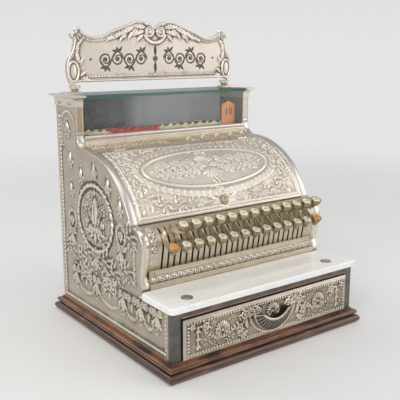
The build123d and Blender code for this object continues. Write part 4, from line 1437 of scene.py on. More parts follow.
@dataclass
class SideCastings(SubAssembly):
    """The two side castings' ornament: beads, drops, a fan medallion, sprays and garlands."""

    rows: int = 292
    columns: int = 290
    margin: float = 1.0
    centre: tuple[float, float] = (53.0, 226.0)
    panel: tuple[float, float] = (154.0, 392.0)
    panel_radius: float = 28.0
    trail_y: float = -86.0
    drops: Table = ((154, 386), (147, 327), (104, 301), (51, 318), (0, 296), (147, 268), (-42, 264))
    posies: Table = (
        (16, 150, 27), (92, 148, 25), (-14, 136, 24), (118, 134, 22),
        (-72, 216, 25), (-62, 150, 22), (172, 148, 18), (53, 240, 18),
    )
    ovals: Table = ((-43, 214), (148, 206))
    pendants: tuple[float, ...] = (139, 54, -45, -106, -158)

    def build(self, palette: Palette) -> None:
        """Make the ornament once and place it on both sides."""
        z = np.linspace(CABINET.base_top + self.margin, CABINET.column_top - self.margin, self.rows)
        share = np.linspace(0.0, 1.0, self.columns)
        front = CABINET.front_edge(z) + self.margin
        back = CABINET.back_y - self.margin
        y = front[:, None] + (back - front)[:, None] * share[None, :]
        relief = Relief(y, np.broadcast_to(z[:, None], y.shape).copy())
        self._borders(relief)
        self._medallion(relief)
        self._lower_band(relief)
        for a, b in self.drops:
            relief.spray(FLEUR, a, b)
        for b in np.arange(140.0, 212.0, 11.5):
            relief.stamp(Flower(4.4, 2), self.trail_y, b, 20)
            relief.stamp(Leaf(8, 4, 1.6, 0.2), self.trail_y, b - 3, -60)
            relief.stamp(Leaf(8, 4, 1.6, -0.2), self.trail_y, b - 3, -120)
        wear = relief.wear()
        relief.settle()
        for name, hand in SIDES:
            top = xyz(hand * (CABINET.half_width + relief.h), relief.a, relief.b)
            base = xyz(hand * (CABINET.half_width - RELIEF_SINK), relief.a, relief.b)
            slab(f"{name}_side_relief", top, base, wear=wear).place([palette.side])

    def _borders(self, relief: Relief) -> None:
        """Bead rows up the back, round the column's panel and along the bottom.

        Args:
            relief: the side's field.
        """
        relief.beads((187, 40), (187, 408), 8.2, 3.2, 1.25)
        relief.beads((187, 39.5), (-180.5, 39.5), 8.2, 3.2, 1.25)
        relief.beads((-184, 47), (-184, 108), 7.2, 2.3)
        relief.lift(ridge(relief.a - 195.75, 2.2, 0.9))
        a, b = relief.a - self.panel[0], relief.b - self.panel[1]
        ring = np.where(b > 0.0, np.hypot(a, b), np.abs(a))
        inside = (relief.b > 352.0) & (relief.a > 120.0)
        relief.lift(np.where(inside, ridge(ring - self.panel_radius, 2.2, 1.3), 0.0))
        relief.beads((178, 352), (178, 396), 5.2, 2)

    def _medallion(self, relief: Relief) -> None:
        """An oval wreath round a tall fan, with scrolls and sprays beside it.

        Args:
            relief: the side's field.
        """
        centre, x, foot = self.centre, self.centre[0], self.centre[1] - 16.0
        relief.oval_rim(centre, (66, 63), 3.1, 1.7)
        relief.around(Leaf(13, 7, 4.4, 0.25, 2), centre, (64, 61), 29, -36)
        relief.around(Leaf(13, 7, 4.2, -0.25, 2), centre, (68, 65), 29, 36)
        relief.around(Bud(2.6, 3.9), centre, (66, 63), 29)
        relief.around(Bud(1.5, 1.6), centre, (78, 75), 58)
        relief.oval_rim(centre, (54, 51), 1, 0.9)
        relief.stamp(Leaf(58, 23, 5.4, 0, 1, 0, 0.8), x - 3, foot, 90)
        for side in HANDS:
            relief.stamp(Leaf(44, 12, 3.4, 0.25, 4), x - 3, foot, 66, side)
            relief.stamp(Leaf(34, 11, 3, 0.3, 4), x - 3, foot, 40, side)
            relief.stamp(Volute(9, 2.2, 3.2), x + side * 15, foot - 6, 120, -side)
            relief.stamp(Volute(7, 1.9, 2.8), x + side * 29, foot + 8, 200, side)
            relief.stamp(Leaf(20, 8, 2.6, -0.3, 4), x + side * 20, foot - 12, 10, side)
            relief.stamp(Leaf(18, 8, 2.6, 0.3, 4), x + side * 8, foot - 14, -50, side)
            for out, up, size, height in ((33, 28, 15, 2.6), (21, 48, 12, 2.4), (30, -18, 15, 2.6)):
                relief.posy(x + side * out, foot + up, size, side, height)
        relief.stamp(Flower(7, 3.8, 6), x, foot - 4)
        relief.stamp(Leaf(26, 10, 3.2, 0, 4), x, foot - 8, -90)
        relief.spray(HUSK, x, 279)
        relief.spray(PENDANT, x, 143)
        for a, b, size in self.posies:
            relief.posy(a, b, size, height=2.8)
        for a, b in self.ovals:
            relief.oval_rim((a, b), (15, 19), 2, 1.6)
            relief.around(Bud(1.7, 1.4), (a, b), (19, 23), 24)
            relief.stamp(Volute(8, 2.2, 2.4), a, b, 90)
            relief.spray(PENDANT, a, b - 36)

    def _lower_band(self, relief: Relief) -> None:
        """Pendants with ovals and garlands between them, above the bottom beads.

        Args:
            relief: the side's field.
        """
        for a in self.pendants:
            relief.spray(PENDANT, a, 92)
        for start, end in zip(self.pendants, self.pendants[1:]):
            gap = start - end
            middle = 0.5 * (start + end)
            relief.swag((start - 8, 80), (end + 8, 80), 10 + 0.05 * gap, 3.6)
            relief.stamp(Leaf(17, 6.5, 2.4, 0, 4), middle, 96, -90)
            for side in HANDS:
                relief.stamp(Volute(0.1 * gap + 2, 1.8, 2.5), middle - side * 0.16 * gap, 105, 30, side)
            if gap > 70.0:
                relief.oval_rim((middle, 110), (9, 11.5), 1.8, 1.8)
                relief.stamp(Flower(5, 2.6, 6), middle, 110)
                for side in HANDS:
                    relief.stamp(Leaf(19, 7, 2.4, 0.35, 4), middle + side * 12, 112, 20, side)
                    relief.stamp(Leaf(17, 6.5, 2.2, -0.35, 4), middle + side * 12, 98, -30, side)


@dataclass
class LidCover(SubAssembly):
    """The lid's ornament: a beaded border, an oval rim in a wreath, scrolls and corner sprays."""

    half: float = 197.4
    step: float = 1.06
    lip_angle: float = 157.0
    seam_angle: float = 98.9
    rim_half: tuple[float, float] = (148.0, 47.56)
    wreath_half: tuple[float, float] = (163.5, 63.85)
    oval_rise: float = 95.7
    border_x: float = 191.0
    border_low: float = 5.0
    border_high: float = 172.7
    lock_rise: float = 15.0
    lock_radius: float = 11.5
    hinge_depth: float = 7.0
    posies: Table = (
        (181, 96, 19), (178, 122, 16), (176, 150, 22), (150, 160, 15), (176, 66, 15), (168, 38, 24),
        (138, 24, 19), (104, 19, 17), (74, 17, 14), (60, 162, 14), (104, 161, 14),
    )

    def build(self, palette: Palette) -> None:
        """Make the ornament over x and the run up from the lip, and wrap it on the lid's circle."""
        path, lean, run = arc_path(
            CABINET.lid, CABINET.lid_radius, self.lip_angle, self.seam_angle, self.step
        )
        relief = Relief.over(self.half, self.step, run)
        self._ornament(relief)
        lock = np.hypot(relief.a, relief.b - self.lock_rise)
        relief.h = relief.h * unit((lock - self.lock_radius) / 2.0)
        relief.h[CABINET.hinges(relief.a) & (relief.b > run[-1] - self.hinge_depth)] = HINGE_SINK
        across_path("lid_relief", path, lean, relief, 1.4, 4).place([palette.lid], "lid")

    def _ornament(self, relief: Relief) -> None:
        """Everything on the lid, from its border inwards.

        Args:
            relief: the lid's field.
        """
        mid = (0.0, self.oval_rise)
        low, high = (-self.border_x, self.border_low), (self.border_x, self.border_high)
        relief.bead_frame(low, high, 6.4, 2.4, 1.2)
        relief.oval_rim(mid, self.rim_half, 3.4, 2.2)
        relief.oval_rim(mid, (self.rim_half[0] - 6.5, self.rim_half[1] - 6.5), 0.9, 0.5)
        relief.wreath(mid, self.wreath_half, 54, 11.5)
        for side in HANDS:
            self._foliage(relief, side)
            for a, b, size in self.posies:
                relief.posy(side * a, b, size, side)
            relief.swag((side * 22, 23), (side * 58, 25), 9, 2.6)
            relief.stamp(Leaf(34, 7, 1.7, 0.22, 5), side * 14, 19, 14, side)
        relief.spray(SHELL, 0, 33)
        relief.posy(0, 40, 20)
        relief.posy(0, 152, 22)

    def _foliage(self, relief: Relief, side: float) -> None:
        """One side of the oval's field: two fine running scrolls beside a flaming palmette.

        Args:
            relief: the lid's field.
            side: minus one for the left and one for the right.
        """
        mid = self.oval_rise
        for b in (12, -12):
            relief.vine(side * 26, side * 116, mid + b, 8.5, 30, 1.6)
        for a, b, size in ((34, 0, 15), (62, 1, 15), (90, 0, 14), (116, 0, 13)):
            relief.posy(side * a, mid + b, size, side)
        for turn in (90, -90):
            relief.stamp(Fan(30, 2.4, 7, 60), 0, mid + 0.04 * turn, turn)
        for lean in (8, 26, -16):
            relief.stamp(Leaf(22, 6, 2.3, 0.2, 4), side * 4, mid, lean, side)


@dataclass
class Frieze(SubAssembly):
    """The hollow strip under the window: leaves on both sides of a bare plate and a beaded line."""

    half: float = 197.4
    step: float = 1.0
    seam_angle: float = 97.6
    tangent: float = 89.1
    hollow_end: float = 336.0
    middle: float = 28.0
    plate_half: tuple[float, float] = (27.0, 8.5)
    bead_end: float = 194.0
    hinge_rise: float = 6.5

    def build(self, palette: Palette) -> None:
        """Carry the ornament up the lid's last arc and round the neck's hollow."""
        first, lean_a, run_a = arc_path(
            CABINET.lid, CABINET.lid_radius, self.seam_angle, self.tangent, self.step
        )
        second, lean_b, run_b = arc_path(
            CABINET.neck, CABINET.neck_radius, self.tangent + 180.0, self.hollow_end, self.step
        )
        path = np.concatenate([first, second[1:]])
        lean = np.concatenate([lean_a, -lean_b[1:]])
        run = np.concatenate([run_a, run_a[-1] + run_b[1:]])
        relief = Relief.over(self.half, self.step, run)
        relief.beads((-self.bead_end, run[-1] - 4), (self.bead_end, run[-1] - 4), 3.8, 1.3)
        for edge in (5.5, run[-1] - 8.0):
            relief.lift(ridge(relief.b - edge, 1.0, 0.7))
        for side in HANDS:
            relief.vine(side * 44, side * 194, self.middle, 7.5, 38, 1.2)
            for a in (40, 78, 116, 154, 186):
                relief.posy(side * a, self.middle, 15, side)
        wide, tall = self.plate_half
        box = np.maximum(np.abs(relief.a) / wide, np.abs(relief.b - self.middle) / tall)
        plate = unit((1.0 - box) * 6.0)
        relief.h = relief.h * (1.0 - plate) + plate
        relief.h[CABINET.hinges(relief.a) & (relief.b < self.hinge_rise)] = HINGE_SINK
        piece = across_path("frieze_relief", path, lean, relief, 1.4, 4, 0.34 * plate)
        piece.place([palette.frieze])


@dataclass
class BackCasting(SubAssembly):
    """The back's ornament: a beaded frame, an oval cartouche, sprays and garlands."""

    half: float = 196.5
    low: float = 31.5
    high: float = 372.5
    step: float = 1.4
    centre: tuple[float, float] = (0.0, 214.0)
    rim_half: tuple[float, float] = (118.2, 72.0)
    wreath_half: tuple[float, float] = (133.7, 87.5)

    def build(self, palette: Palette) -> None:
        """Make the ornament over x and z and stand it on the back's face."""
        relief = Relief.over(self.half, self.step, even(self.low, self.high, self.step))
        relief.bead_frame((-188.2, 39.5), (188.2, 364.07), 7.2, 2.5, 1.25)
        relief.oval_rim(self.centre, self.rim_half, 3.7, 2.2)
        relief.wreath(self.centre, self.wreath_half, 78, 12)
        relief.stamp(Fan(44, 4, 7, 44), 0, 198, 90)
        relief.stamp(Flower(9, 3.4, 8), 0, 198)
        for side in HANDS:
            relief.vine(side * 34, side * 104, 206, 17, 62, 2)
            for a, b in ((48, 244), (84, 232), (48, 174), (84, 180)):
                relief.posy(side * a, b, 22, side, 2.8)
            for a, b in ((128, 308), (72, 318), (126, 124), (38, 86), (96, 84)):
                relief.posy(side * a, b, 16, side, 2.6)
            for lean in (25, 55, -25, -60):
                relief.stamp(Leaf(26, 10, 2.6, 0.15, 4), side * 5, 206, lean, side)
            for b, turn in ((66, 42), (338, -42)):
                relief.spray(CORNER, side * 160, b, 180 - turn if side > 0 else turn)
            for b in (300, 240, 180, 120):
                relief.spray(FLEUR, side * 168, b)
            relief.swag((side * 12, 118), (side * 120, 118), 24, 5)
            relief.vine(side * 12, side * 150, 58, 10, 36, 1.8)
            relief.vine(side * 12, side * 130, 342, 9, 34, 1.7)
        relief.spray(PENDANT, 0, 108)
        relief.spray(SHELL, 0, 318)
        on_face("back_relief", relief, CABINET.back_y, 1.0).place([palette.side])


@dataclass
class DrawerDress(SubAssembly):
    """The drawer front's ornament, its fluted shell pull and the inlaid line above it."""

    half: float = 192.8
    face_y: float = -209.0
    low: float = 33.7
    high: float = 99.6
    step: float = 0.82
    pull_z: float = 88.0
    pull_radius: float = 49.0
    pull_depth: float = 15.6
    pull_wall: float = 3.0
    lip_centre: float = 14.375
    lip_radius: float = 36.375
    lip_roll: float = 1.5
    shoulder: float = 10.0
    mouth_half: float = 27.0
    flank_angle: float = 77.4
    flutes: int = 34
    inlay_half: float = 196.0
    inlay_low: float = 104.9
    inlay_height: float = 3.4
    inlay_proud: float = 1.6
    scrolls: Table = (
        (66, 83, 8.5, 180, 1), (78, 62, 7.5, 140, -1), (152, 84, 7.5, 0, 1),
        (52, 87, 6.5, 20, -1), (70, 47, 6, 60, 1), (180, 88, 5, 100, -1),
    )
    posies: Table = ((100, 51, 9), (131, 50, 9), (151, 58, 9), (176, 49, 6), (94, 84, 7), (138, 84, 7))

    def build(self, palette: Palette) -> None:
        """Make the relief, the pull and the inlay."""
        relief = Relief.over(self.half, self.step, even(self.low, self.high, self.step))
        self._ornament(relief)
        on_face("drawer_relief", relief, self.face_y, -1.0).place([palette.drawer], "drawer")
        pull = self._pull().place([palette.pull], "drawer")
        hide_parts("drawer_pull")
        self._inlay().place([palette.inlay], "case", Slot.PALE_WOOD)

    def _ornament(self, relief: Relief) -> None:
        """A beaded frame, garlands with shells, and scrolls beside the pull.

        Args:
            relief: the drawer front's field.
        """
        relief.bead_frame((-187.5, 39), (187.5, 94.6), 6, 2.1)
        for edge in (35.4, 98.0):
            relief.lift(ridge(relief.b - edge, 1.2, 0.9))
        relief.oval_rim((0, self.pull_z), (56, 51), 1.5, 1.3)
        relief.spray(SHELL, 0, 80)
        for side in HANDS:
            for lean, long in ((4, 34), (24, 24), (-18, 30)):
                relief.stamp(Leaf(long, 10, 3.2, 0.3, 4), side * 27, 82, lean, side)
            relief.spray(SHELL, side * 116, 73)
            relief.swag((side * 76, 77), (side * 156, 77), 21, 4)
            for b in (82, 68, 54):
                relief.spray(HUSK, side * 168, b)
            for a, b, radius, turn, hand in self.scrolls:
                relief.stamp(Volute(radius, 1.8, 2.4), side * a, b, turn, side * hand)
                for lean in (15, 80, 145, 215, 290):
                    c, s = direction(lean)
                    out = radius * 0.85
                    tip = Leaf(radius * 1.1, radius * 0.55, 2, 0.3)
                    relief.stamp(tip, side * (a + out * c), b + out * s, lean - 35, side)
            relief.stamp(Leaf(24, 9, 2.4, 0.35, 4), side * 58, 56, 58, side)
            relief.stamp(Leaf(20, 8, 2.2, -0.3, 4), side * 58, 52, -18, side)
            relief.stamp(Leaf(20, 8, 2.2, 0.25, 4), side * 84, 52, 150, side)
            for a, b, size in self.posies:
                relief.posy(side * a, b, size, side, 2.2)

    def _pull(self) -> Piece:
        """A fluted cup: an elliptic dome in polar angle and radius, cut by the mouth and the shoulders.

        Returns:
            The piece.
        """
        corner = math.degrees(math.atan2(self.mouth_half, self.shoulder))
        flank = np.linspace(corner, self.flank_angle, 18)
        degrees = np.concatenate([-flank[::-1], np.linspace(-corner, corner, 141)[1:-1], flank])
        phi = np.radians(degrees)[None, :]
        swing = np.sqrt(self.lip_radius**2 - (self.lip_centre * np.sin(phi)) ** 2)
        lip = np.maximum(swing - self.lip_centre * np.cos(phi), self.shoulder / np.cos(phi))
        share = np.linspace(0.0, 1.0, 34)[:, None]
        r = lip + (self.pull_radius - lip) * share
        past = r - lip
        flute = 0.75 * (0.5 + 0.5 * np.cos(self.flutes * phi)) * np.sin(np.pi * share) ** 0.5
        rolled = ridge(past - 2.3, 2.6, self.lip_roll)
        hem = ridge(self.pull_radius - r - 1.6, 1.5, 0.9)
        rise = self.pull_depth * dome((r / self.pull_radius) ** 2)
        depth = rise - 0.9 + flute * (past > 5.0) + rolled + hem
        hollow = (self.pull_depth - 3.4) * dome((r / (self.pull_radius - self.pull_wall)) ** 2)
        x = r * np.sin(phi)
        z = self.pull_z - r * np.cos(phi)
        top = xyz(x, self.face_y - np.maximum(depth, 0.15), z)
        base = xyz(x, self.face_y - hollow + 0.05, z)
        wear = unit(0.16 + 0.5 * flute + 0.6 * rolled + 0.7 * hem)
        whole = np.ones((x.shape[0] - 1, x.shape[1] - 1), bool)
        return cut_slab("shell_pull", top, base, whole, wear=wear)

    def _inlay(self) -> Piece:
        """A thin rounded wooden line below the frame's top rail.

        Returns:
            The piece.
        """
        x = np.linspace(-self.inlay_half, self.inlay_half, 60)
        a, t = np.meshgrid(x, np.linspace(0.0, 1.0, 7))
        y = CABINET.front_y - self.inlay_proud * np.sin(np.pi * t) ** 0.5
        z = self.inlay_low + self.inlay_height * t
        return slab("drawer_inlay", xyz(a, y, z), xyz(a, CABINET.front_y + 0.4, z))


@dataclass
class CrestSign(SubAssembly):
    """The sign's face: a moulded edge, beads, crest scrolls, bosses and an engraved flourish."""

    half: float = 205.5
    low: float = 473.0
    height: float = 121.0
    dip: float = 6.0
    front_y: float = 170.5
    step: float = 1.08
    foot_share: float = 0.877
    corners: Table = (
        (0.954, -0.045), (1.0, 0.18), (0.961, 0.434), (0.9246, 0.55), (0.909, 0.69), (0.9455, 0.77),
        (0.893, 0.81), (0.85, 0.884), (0.82, 0.81), (0.706, 0.74), (0.5255, 0.8165), (0.321, 0.938),
        (0.25, 0.981), (0.165, 1.0), (0.0, 0.8926),
    )
    boss: tuple[float, float] = (190.0, 494.0)
    crest_z: float = 572.0
    line_z: float = 517.0
    side_leaves: Table = (
        (176, 510, 62, 26), (174, 506, 100, 18), (175, 484, 128, 18), (174, 480, 175, 20),
        (180, 530, 85, 22), (176, 545, 108, 16), (182, 476, 210, 12),
    )
    crest_leaves: Table = (
        (24, 580, 14, 34), (27, 573, -8, 30), (30, 566, -34, 22), (52, 580, -14, 36), (52, 572, -42, 22),
        (76, 571, -20, 30), (76, 564, -46, 18), (98, 561, -14, 22), (17, 583, 48, 14),
    )

    def outline(self) -> Array:
        """The sign's outline as a closed line: arcs through each three corners, on both halves.

        Returns:
            The line's points.
        """
        pts = np.array(self.corners) * (self.half, self.height) + (0.0, self.low)
        runs = [np.array([[0.0, self.low], [self.foot_share * self.half, self.low]]), pts[:1]]
        t = np.linspace(0.0, 1.0, 15)[1:]
        for k in range(0, len(pts) - 1, 2):
            runs.append(self._arc(*pts[k : k + 3], t))
        right = np.concatenate(runs)
        left = right[1:-1][::-1] * (-1.0, 1.0)
        return np.concatenate([right, left])

    @staticmethod
    def _arc(start: Array, middle: Array, end: Array, t: Array) -> Array:
        """Points on the circle through three points: equal angles from the first to the last.

        Args:
            start: the first point.
            middle: a point between.
            end: the last point.
            t: shares of the way along.

        Returns:
            The points.
        """
        (ax, ay), (bx, by), (cx, cy) = start, middle, end
        d = 2.0 * (ax * (by - cy) + bx * (cy - ay) + cx * (ay - by))
        ux = (start @ start) * (by - cy) + (middle @ middle) * (cy - ay) + (end @ end) * (ay - by)
        uy = (start @ start) * (cx - bx) + (middle @ middle) * (ax - cx) + (end @ end) * (bx - ax)
        centre = np.array([ux, uy]) / d
        first = math.atan2(*(start - centre)[::-1])
        turn = (math.atan2(*(end - centre)[::-1]) - first) % (2.0 * math.pi)
        over = (math.atan2(*(middle - centre)[::-1]) - first) % (2.0 * math.pi)
        turn = turn if over < turn else turn - 2.0 * math.pi
        angle = first + turn * t
        radius = np.linalg.norm(start - centre)
        return centre + radius * np.stack([np.cos(angle), np.sin(angle)], -1)

    @staticmethod
    def inside(a: Array, b: Array, line: Array) -> Array:
        """Distance from each point to the outline: its nearest segment, with the sign of a crossing count.

        Args:
            a: the points' places across.
            b: their heights.
            line: the outline.

        Returns:
            The distance, positive inside.
        """
        near = np.full(a.shape, 1e9)
        odd = np.zeros(a.shape, bool)
        for (x0, y0), (x1, y1) in zip(line, np.roll(line, -1, 0)):
            dx, dy = x1 - x0, y1 - y0
            t = unit(((a - x0) * dx + (b - y0) * dy) / (dx * dx + dy * dy))
            near = np.minimum(near, np.hypot(a - x0 - t * dx, b - y0 - t * dy))
            if dy != 0.0:
                odd ^= ((y0 > b) != (y1 > b)) & (a < dx * (b - y0) / dy + x0)
        return np.where(odd, near, -near)

    def build(self, palette: Palette) -> None:
        """Make the face relief inside the sign's outline."""
        rows = even(self.low - self.dip, self.low + self.height, self.step)
        relief = Relief.over(self.half, self.step, rows)
        depth = self.inside(relief.a, relief.b, self.outline())
        self._ornament(relief, depth)
        groove = self._flourish(relief)
        relief.h -= 0.35 * groove
        cells = (depth[:-1, :-1], depth[1:, 1:], depth[:-1, 1:], depth[1:, :-1])
        keep = np.min(np.stack(cells), axis=0) > 0.25
        edge = unit(depth / 1.6)
        height = (relief.h + 0.5) * edge - 0.6 * (1.0 - edge)
        top = xyz(relief.a, self.front_y - height, relief.b)
        base = xyz(relief.a, self.front_y + 1.4, relief.b)
        sign = cut_slab("sign_relief", top, base, keep, wear=relief.wear(), ink=0.9 * groove)
        sign.place([palette.sign])

    def _ornament(self, relief: Relief, depth: Array) -> None:
        """Moulded edge and beads from the distance to the outline, then scrolls, leaves and bosses.

        Args:
            relief: the sign's field.
            depth: each point's distance inside the outline.
        """
        relief.lift(ridge(depth - 2.4, 2.1, 1.9))
        relief.lift(ridge(depth - 6.0, 1.0, 0.9))
        row = np.mod(relief.a * 0.83 + relief.b * 0.55, 5.4) - 2.7
        dots = 2.6 * dome(((depth - 9.8) / 2.1) ** 2 + (row / 1.8) ** 2)
        ends = (relief.b < 490.0) & (np.abs(relief.a) < 168.0)
        saddles = (relief.b > 545.0) & (np.abs(relief.a) > 88.0)
        relief.lift(np.where(ends | saddles, dots, 0.0))
        for side in HANDS:
            boss = (side * self.boss[0], self.boss[1])
            relief.oval_rim(boss, (11, 19), 2.4, 2.8)
            relief.lift(2.4 * dome(relief.oval_share(boss, (7.4, 15.5)) ** 2))
            for a, b, turn, long in self.side_leaves:
                relief.stamp(Leaf(long, long * 0.36, 2.4, 0.25, 4), side * a, b, turn, side)
            relief.stamp(Volute(11, 3, 3.6), side * 14, 571.5, 90, -side)
            relief.stamp(Volute(6.5, 1.9, 2.6), side * 47, 571, 200, side)
            relief.stamp(Volute(5, 1.6, 2.2), side * 74, 564, 200, side)
            for a, b, turn, long in self.crest_leaves:
                relief.stamp(Leaf(long, long * 0.36, 2.8, -0.2, 5), side * a, b, turn, side)
            for a, b in ((175, 578), (191, 566)):
                relief.stamp(Bud(5, 2.6), side * a, b)
        crescent = (relief.b < 566.0) & (np.abs(relief.a) < 34.0)
        ring = np.hypot(relief.a, (relief.b - self.crest_z) * 1.15)
        relief.lift(np.where(crescent, ridge(ring - 26.0, 4.0, 2.2), 0.0))
        angle = np.arctan2(relief.a, self.crest_z - relief.b)
        bead = (np.mod(angle * 35.0, 4.4) - 2.2) / 1.9
        relief.lift(np.where(crescent, 1.2 * dome(((ring - 35.0) / 1.7) ** 2 + bead**2), 0.0))

    def _flourish(self, relief: Relief) -> Array:
        """A symmetric engraved scroll with a lozenge at each end, across the bare face.

        Args:
            relief: the sign's field, which gives the points.

        Returns:
            One where the face is cut and zero elsewhere.
        """
        cut = Relief(relief.a, relief.b)
        for side in HANDS:
            cut.vine(side * 20, side * 132, self.line_z, 15, 56, 2.1)
            diamond = (np.abs(relief.a - side * 152.0) + np.abs(relief.b - self.line_z)) / 4.6
            cut.lift(np.clip(2.4 - diamond * 2.0, 0.0, 2.0))
        cut.stamp(Flower(8, 2.4, 8), 0, self.line_z)
        for turn in (90, -90):
            cut.stamp(Leaf(26, 8, 2.6, 0, 1, 0), 0, self.line_z + 0.06 * turn, turn)
        return unit((cut.h - 0.7) / 0.6)


@dataclass
class KeyBed(SubAssembly):
    """The key bed's dress: leaf strips at its ends, egg-and-dart under the keys and two screws."""

    inner: float = 179.5
    outer: float = 197.6
    step: float = 0.85
    strip_end: tuple[float, float] = (-105.2, 164.0)
    egg_half: float = 197.4
    egg_pitch: float = 15.2
    egg_low: float = 139.0
    egg_high: float = 153.0
    egg_y: float = -110.0
    egg_swell: float = 3.0
    screw: tuple[float, float, float] = (190.5, -113.0, 157.8)
    screw_radius: float = 3.4

    def build(self, palette: Palette) -> None:
        """Make both end strips, the moulding and the screws."""
        path, lean, run = arc_path(CABINET.bed, CABINET.bed_radius, 100.0, 180.0, self.step)
        down, normal = straight_path(path[-1], self.strip_end, self.step)
        rows = np.concatenate([path, down])
        leans = np.concatenate([lean, normal])
        runs = np.concatenate([run, run[-1] + np.hypot(*(down - path[-1]).T)])
        for name, side in SIDES:
            x = np.sort(side * np.linspace(self.inner, self.outer, 23))
            relief = Relief(*np.meshgrid(x, -runs))
            middle = side * 0.5 * (self.inner + self.outer)
            for b in np.arange(-8.0, 6.0 - runs[-1], -13.0):
                relief.stamp(Volute(5, 1.4, 1.7, 1.6), middle - 2, b, 60)
                for turn in (35, 145, 250, 300):
                    relief.stamp(Leaf(9, 4.4, 1.6, 0.25), middle, b - 2, turn)
            across_path(f"{name}_bed_leaves", rows, leans, relief, 1.2, 3).place([palette.cast])
        self._eggs().place([palette.cast])
        for name, side in SIDES:
            self._screw(f"{name}_bar_screw", side).place([palette.rosette])

    def _screw(self, name: str, side: float) -> Piece:
        """A slotted screw at one end of the moulding's flat bar: a dome with a groove across it.

        Args:
            name: the piece's name.
            side: minus one for the left and one for the right.

        Returns:
            The piece.
        """
        x, y, z = self.screw
        u, v = polar_grid(self.screw_radius)
        slot = np.exp(-((u / 0.45) ** 4))
        height = 1.5 * dome(0.72 * (u**2 + v**2) / self.screw_radius**2) - 0.6 * slot
        wear = unit(0.75 - 0.7 * slot)
        return polar_cap(name, tilt_at(side * x, y, z, 90.0), u, v, height, 0.6, wear=wear)

    def _eggs(self) -> Piece:
        """Eggs and darts along the swelling strip: y falls by the swell times a half sine.

        Returns:
            The piece.
        """
        z = np.linspace(self.egg_low + 0.2, self.egg_high - 0.2, 19)
        share = (z - self.egg_low) / (self.egg_high - self.egg_low)
        path = np.stack([self.egg_y - self.egg_swell * np.sin(np.pi * share), z], -1)
        lean = np.stack([np.full_like(z, -1.0), np.zeros_like(z)], -1)
        relief = Relief(*np.meshgrid(np.linspace(-self.egg_half, self.egg_half, 530), z))
        a = np.mod(relief.a, self.egg_pitch) - 0.5 * self.egg_pitch
        b = relief.b - 0.5 * (self.egg_low + self.egg_high)
        relief.lift(2.3 * dome((a / 2.5) ** 2 + (b / 3.3) ** 2))
        rim = np.hypot(a / 4.9, b / 5.4)
        relief.lift(ridge((rim - 1.0) * 4.9, 1.25, 1.7))
        dart = np.abs(np.abs(a) - 0.5 * self.egg_pitch)
        relief.lift(ridge(dart, 0.8, 0.9) * (np.abs(b) < 4.5))
        return across_path("egg_moulding", path, lean, relief, 1.0, 3)


@dataclass
class EdgeBands(SubAssembly):
    """Polished crowned bands on the side castings' front edges, and the columns' insets."""

    inner: float = 198.9
    outer: float = 214.7
    crown: float = 1.5
    tangent: float = 89.1
    foot_end: float = 130.5
    inlay_low: float = 378.0
    inlay_high: float = 429.5
    border: float = 2.3

    def build(self, palette: Palette) -> None:
        """Carry a crowned strip along each casting's edge, then set the inlays."""
        nose = 180.0 - math.degrees(math.asin((CABINET.bed_top - CABINET.lid[1]) / CABINET.lid_radius))
        crest, crest_lean, _ = arc_path(CABINET.lid, CABINET.lid_radius, nose - 0.4, self.tangent, 3.0)
        neck, neck_lean, _ = arc_path(CABINET.neck, CABINET.neck_radius, self.tangent + 180.0, 359.0, 2.0)
        upper = (np.concatenate([crest, neck[1:]]), np.concatenate([crest_lean, -neck_lean[1:]]))
        runs = [arc_path(CABINET.bed, CABINET.bed_radius, 92.0, 180.0, 2.5)[:2]]
        for corner in (CABINET.toe, CABINET.foot, (CABINET.foot[0], self.foot_end)):
            runs.append(straight_path(runs[-1][0][-1], corner, 3.0))
        lower = tuple(np.concatenate(parts) for parts in zip(*runs))
        for name, side in SIDES:
            self._band(f"{name}_lid_band", *upper, side).place([palette.polish])
            self._band(f"{name}_bed_band", *lower, side).place([palette.cream])
            field_finish = palette.bared if side < 0 else palette.plate
            self._inlay(f"{name}_column_inlay", side).place([palette.plate, field_finish])

    def _band(self, name: str, rows: Array, leans: Array, side: float) -> Piece:
        """One band: its height across is the crown times a flattened half sine.

        Args:
            name: the piece's name.
            rows: the edge's (y, z) points.
            leans: the outward normal at each.
            side: minus one for the left and one for the right.

        Returns:
            The piece.
        """
        x = np.tile(np.sort(side * np.linspace(self.inner, self.outer, 13)), (len(rows), 1))
        share = (np.abs(x) - self.inner) / (self.outer - self.inner)
        height = self.crown * np.sin(np.pi * share) ** 0.6 - 0.3
        return carried(name, x, rows, leans, height, 1.0)

    def _inlay(self, name: str, side: float) -> Piece:
        """One column's inset: a flat field, which takes the second finish, inside a raised border.

        Args:
            name: the piece's name.
            side: minus one for the left and one for the right.

        Returns:
            The piece.
        """
        x = np.sort(side * np.linspace(self.inner + 0.3, self.outer - 0.4, 25))
        a, b = np.meshgrid(x, np.linspace(self.inlay_low, self.inlay_high, 60))
        beside = np.minimum(np.abs(a) - self.inner, self.outer - np.abs(a))
        edge = np.minimum(beside, np.minimum(b - self.inlay_low, self.inlay_high - b))
        height = np.where(edge < self.border, ridge(edge - 1.2, 1.2, 1.0) + 0.1, 0.1)
        piece = slab(name, xyz(a, CABINET.column_y - height, b), xyz(a, CABINET.column_y + 1.0, b))
        middle = edge[:-1, :-1] + edge[1:, 1:] > 4.8
        finish = np.zeros(len(piece.faces), int)
        finish[: middle.size] = middle.ravel()
        return replace(piece, face_finish=finish)


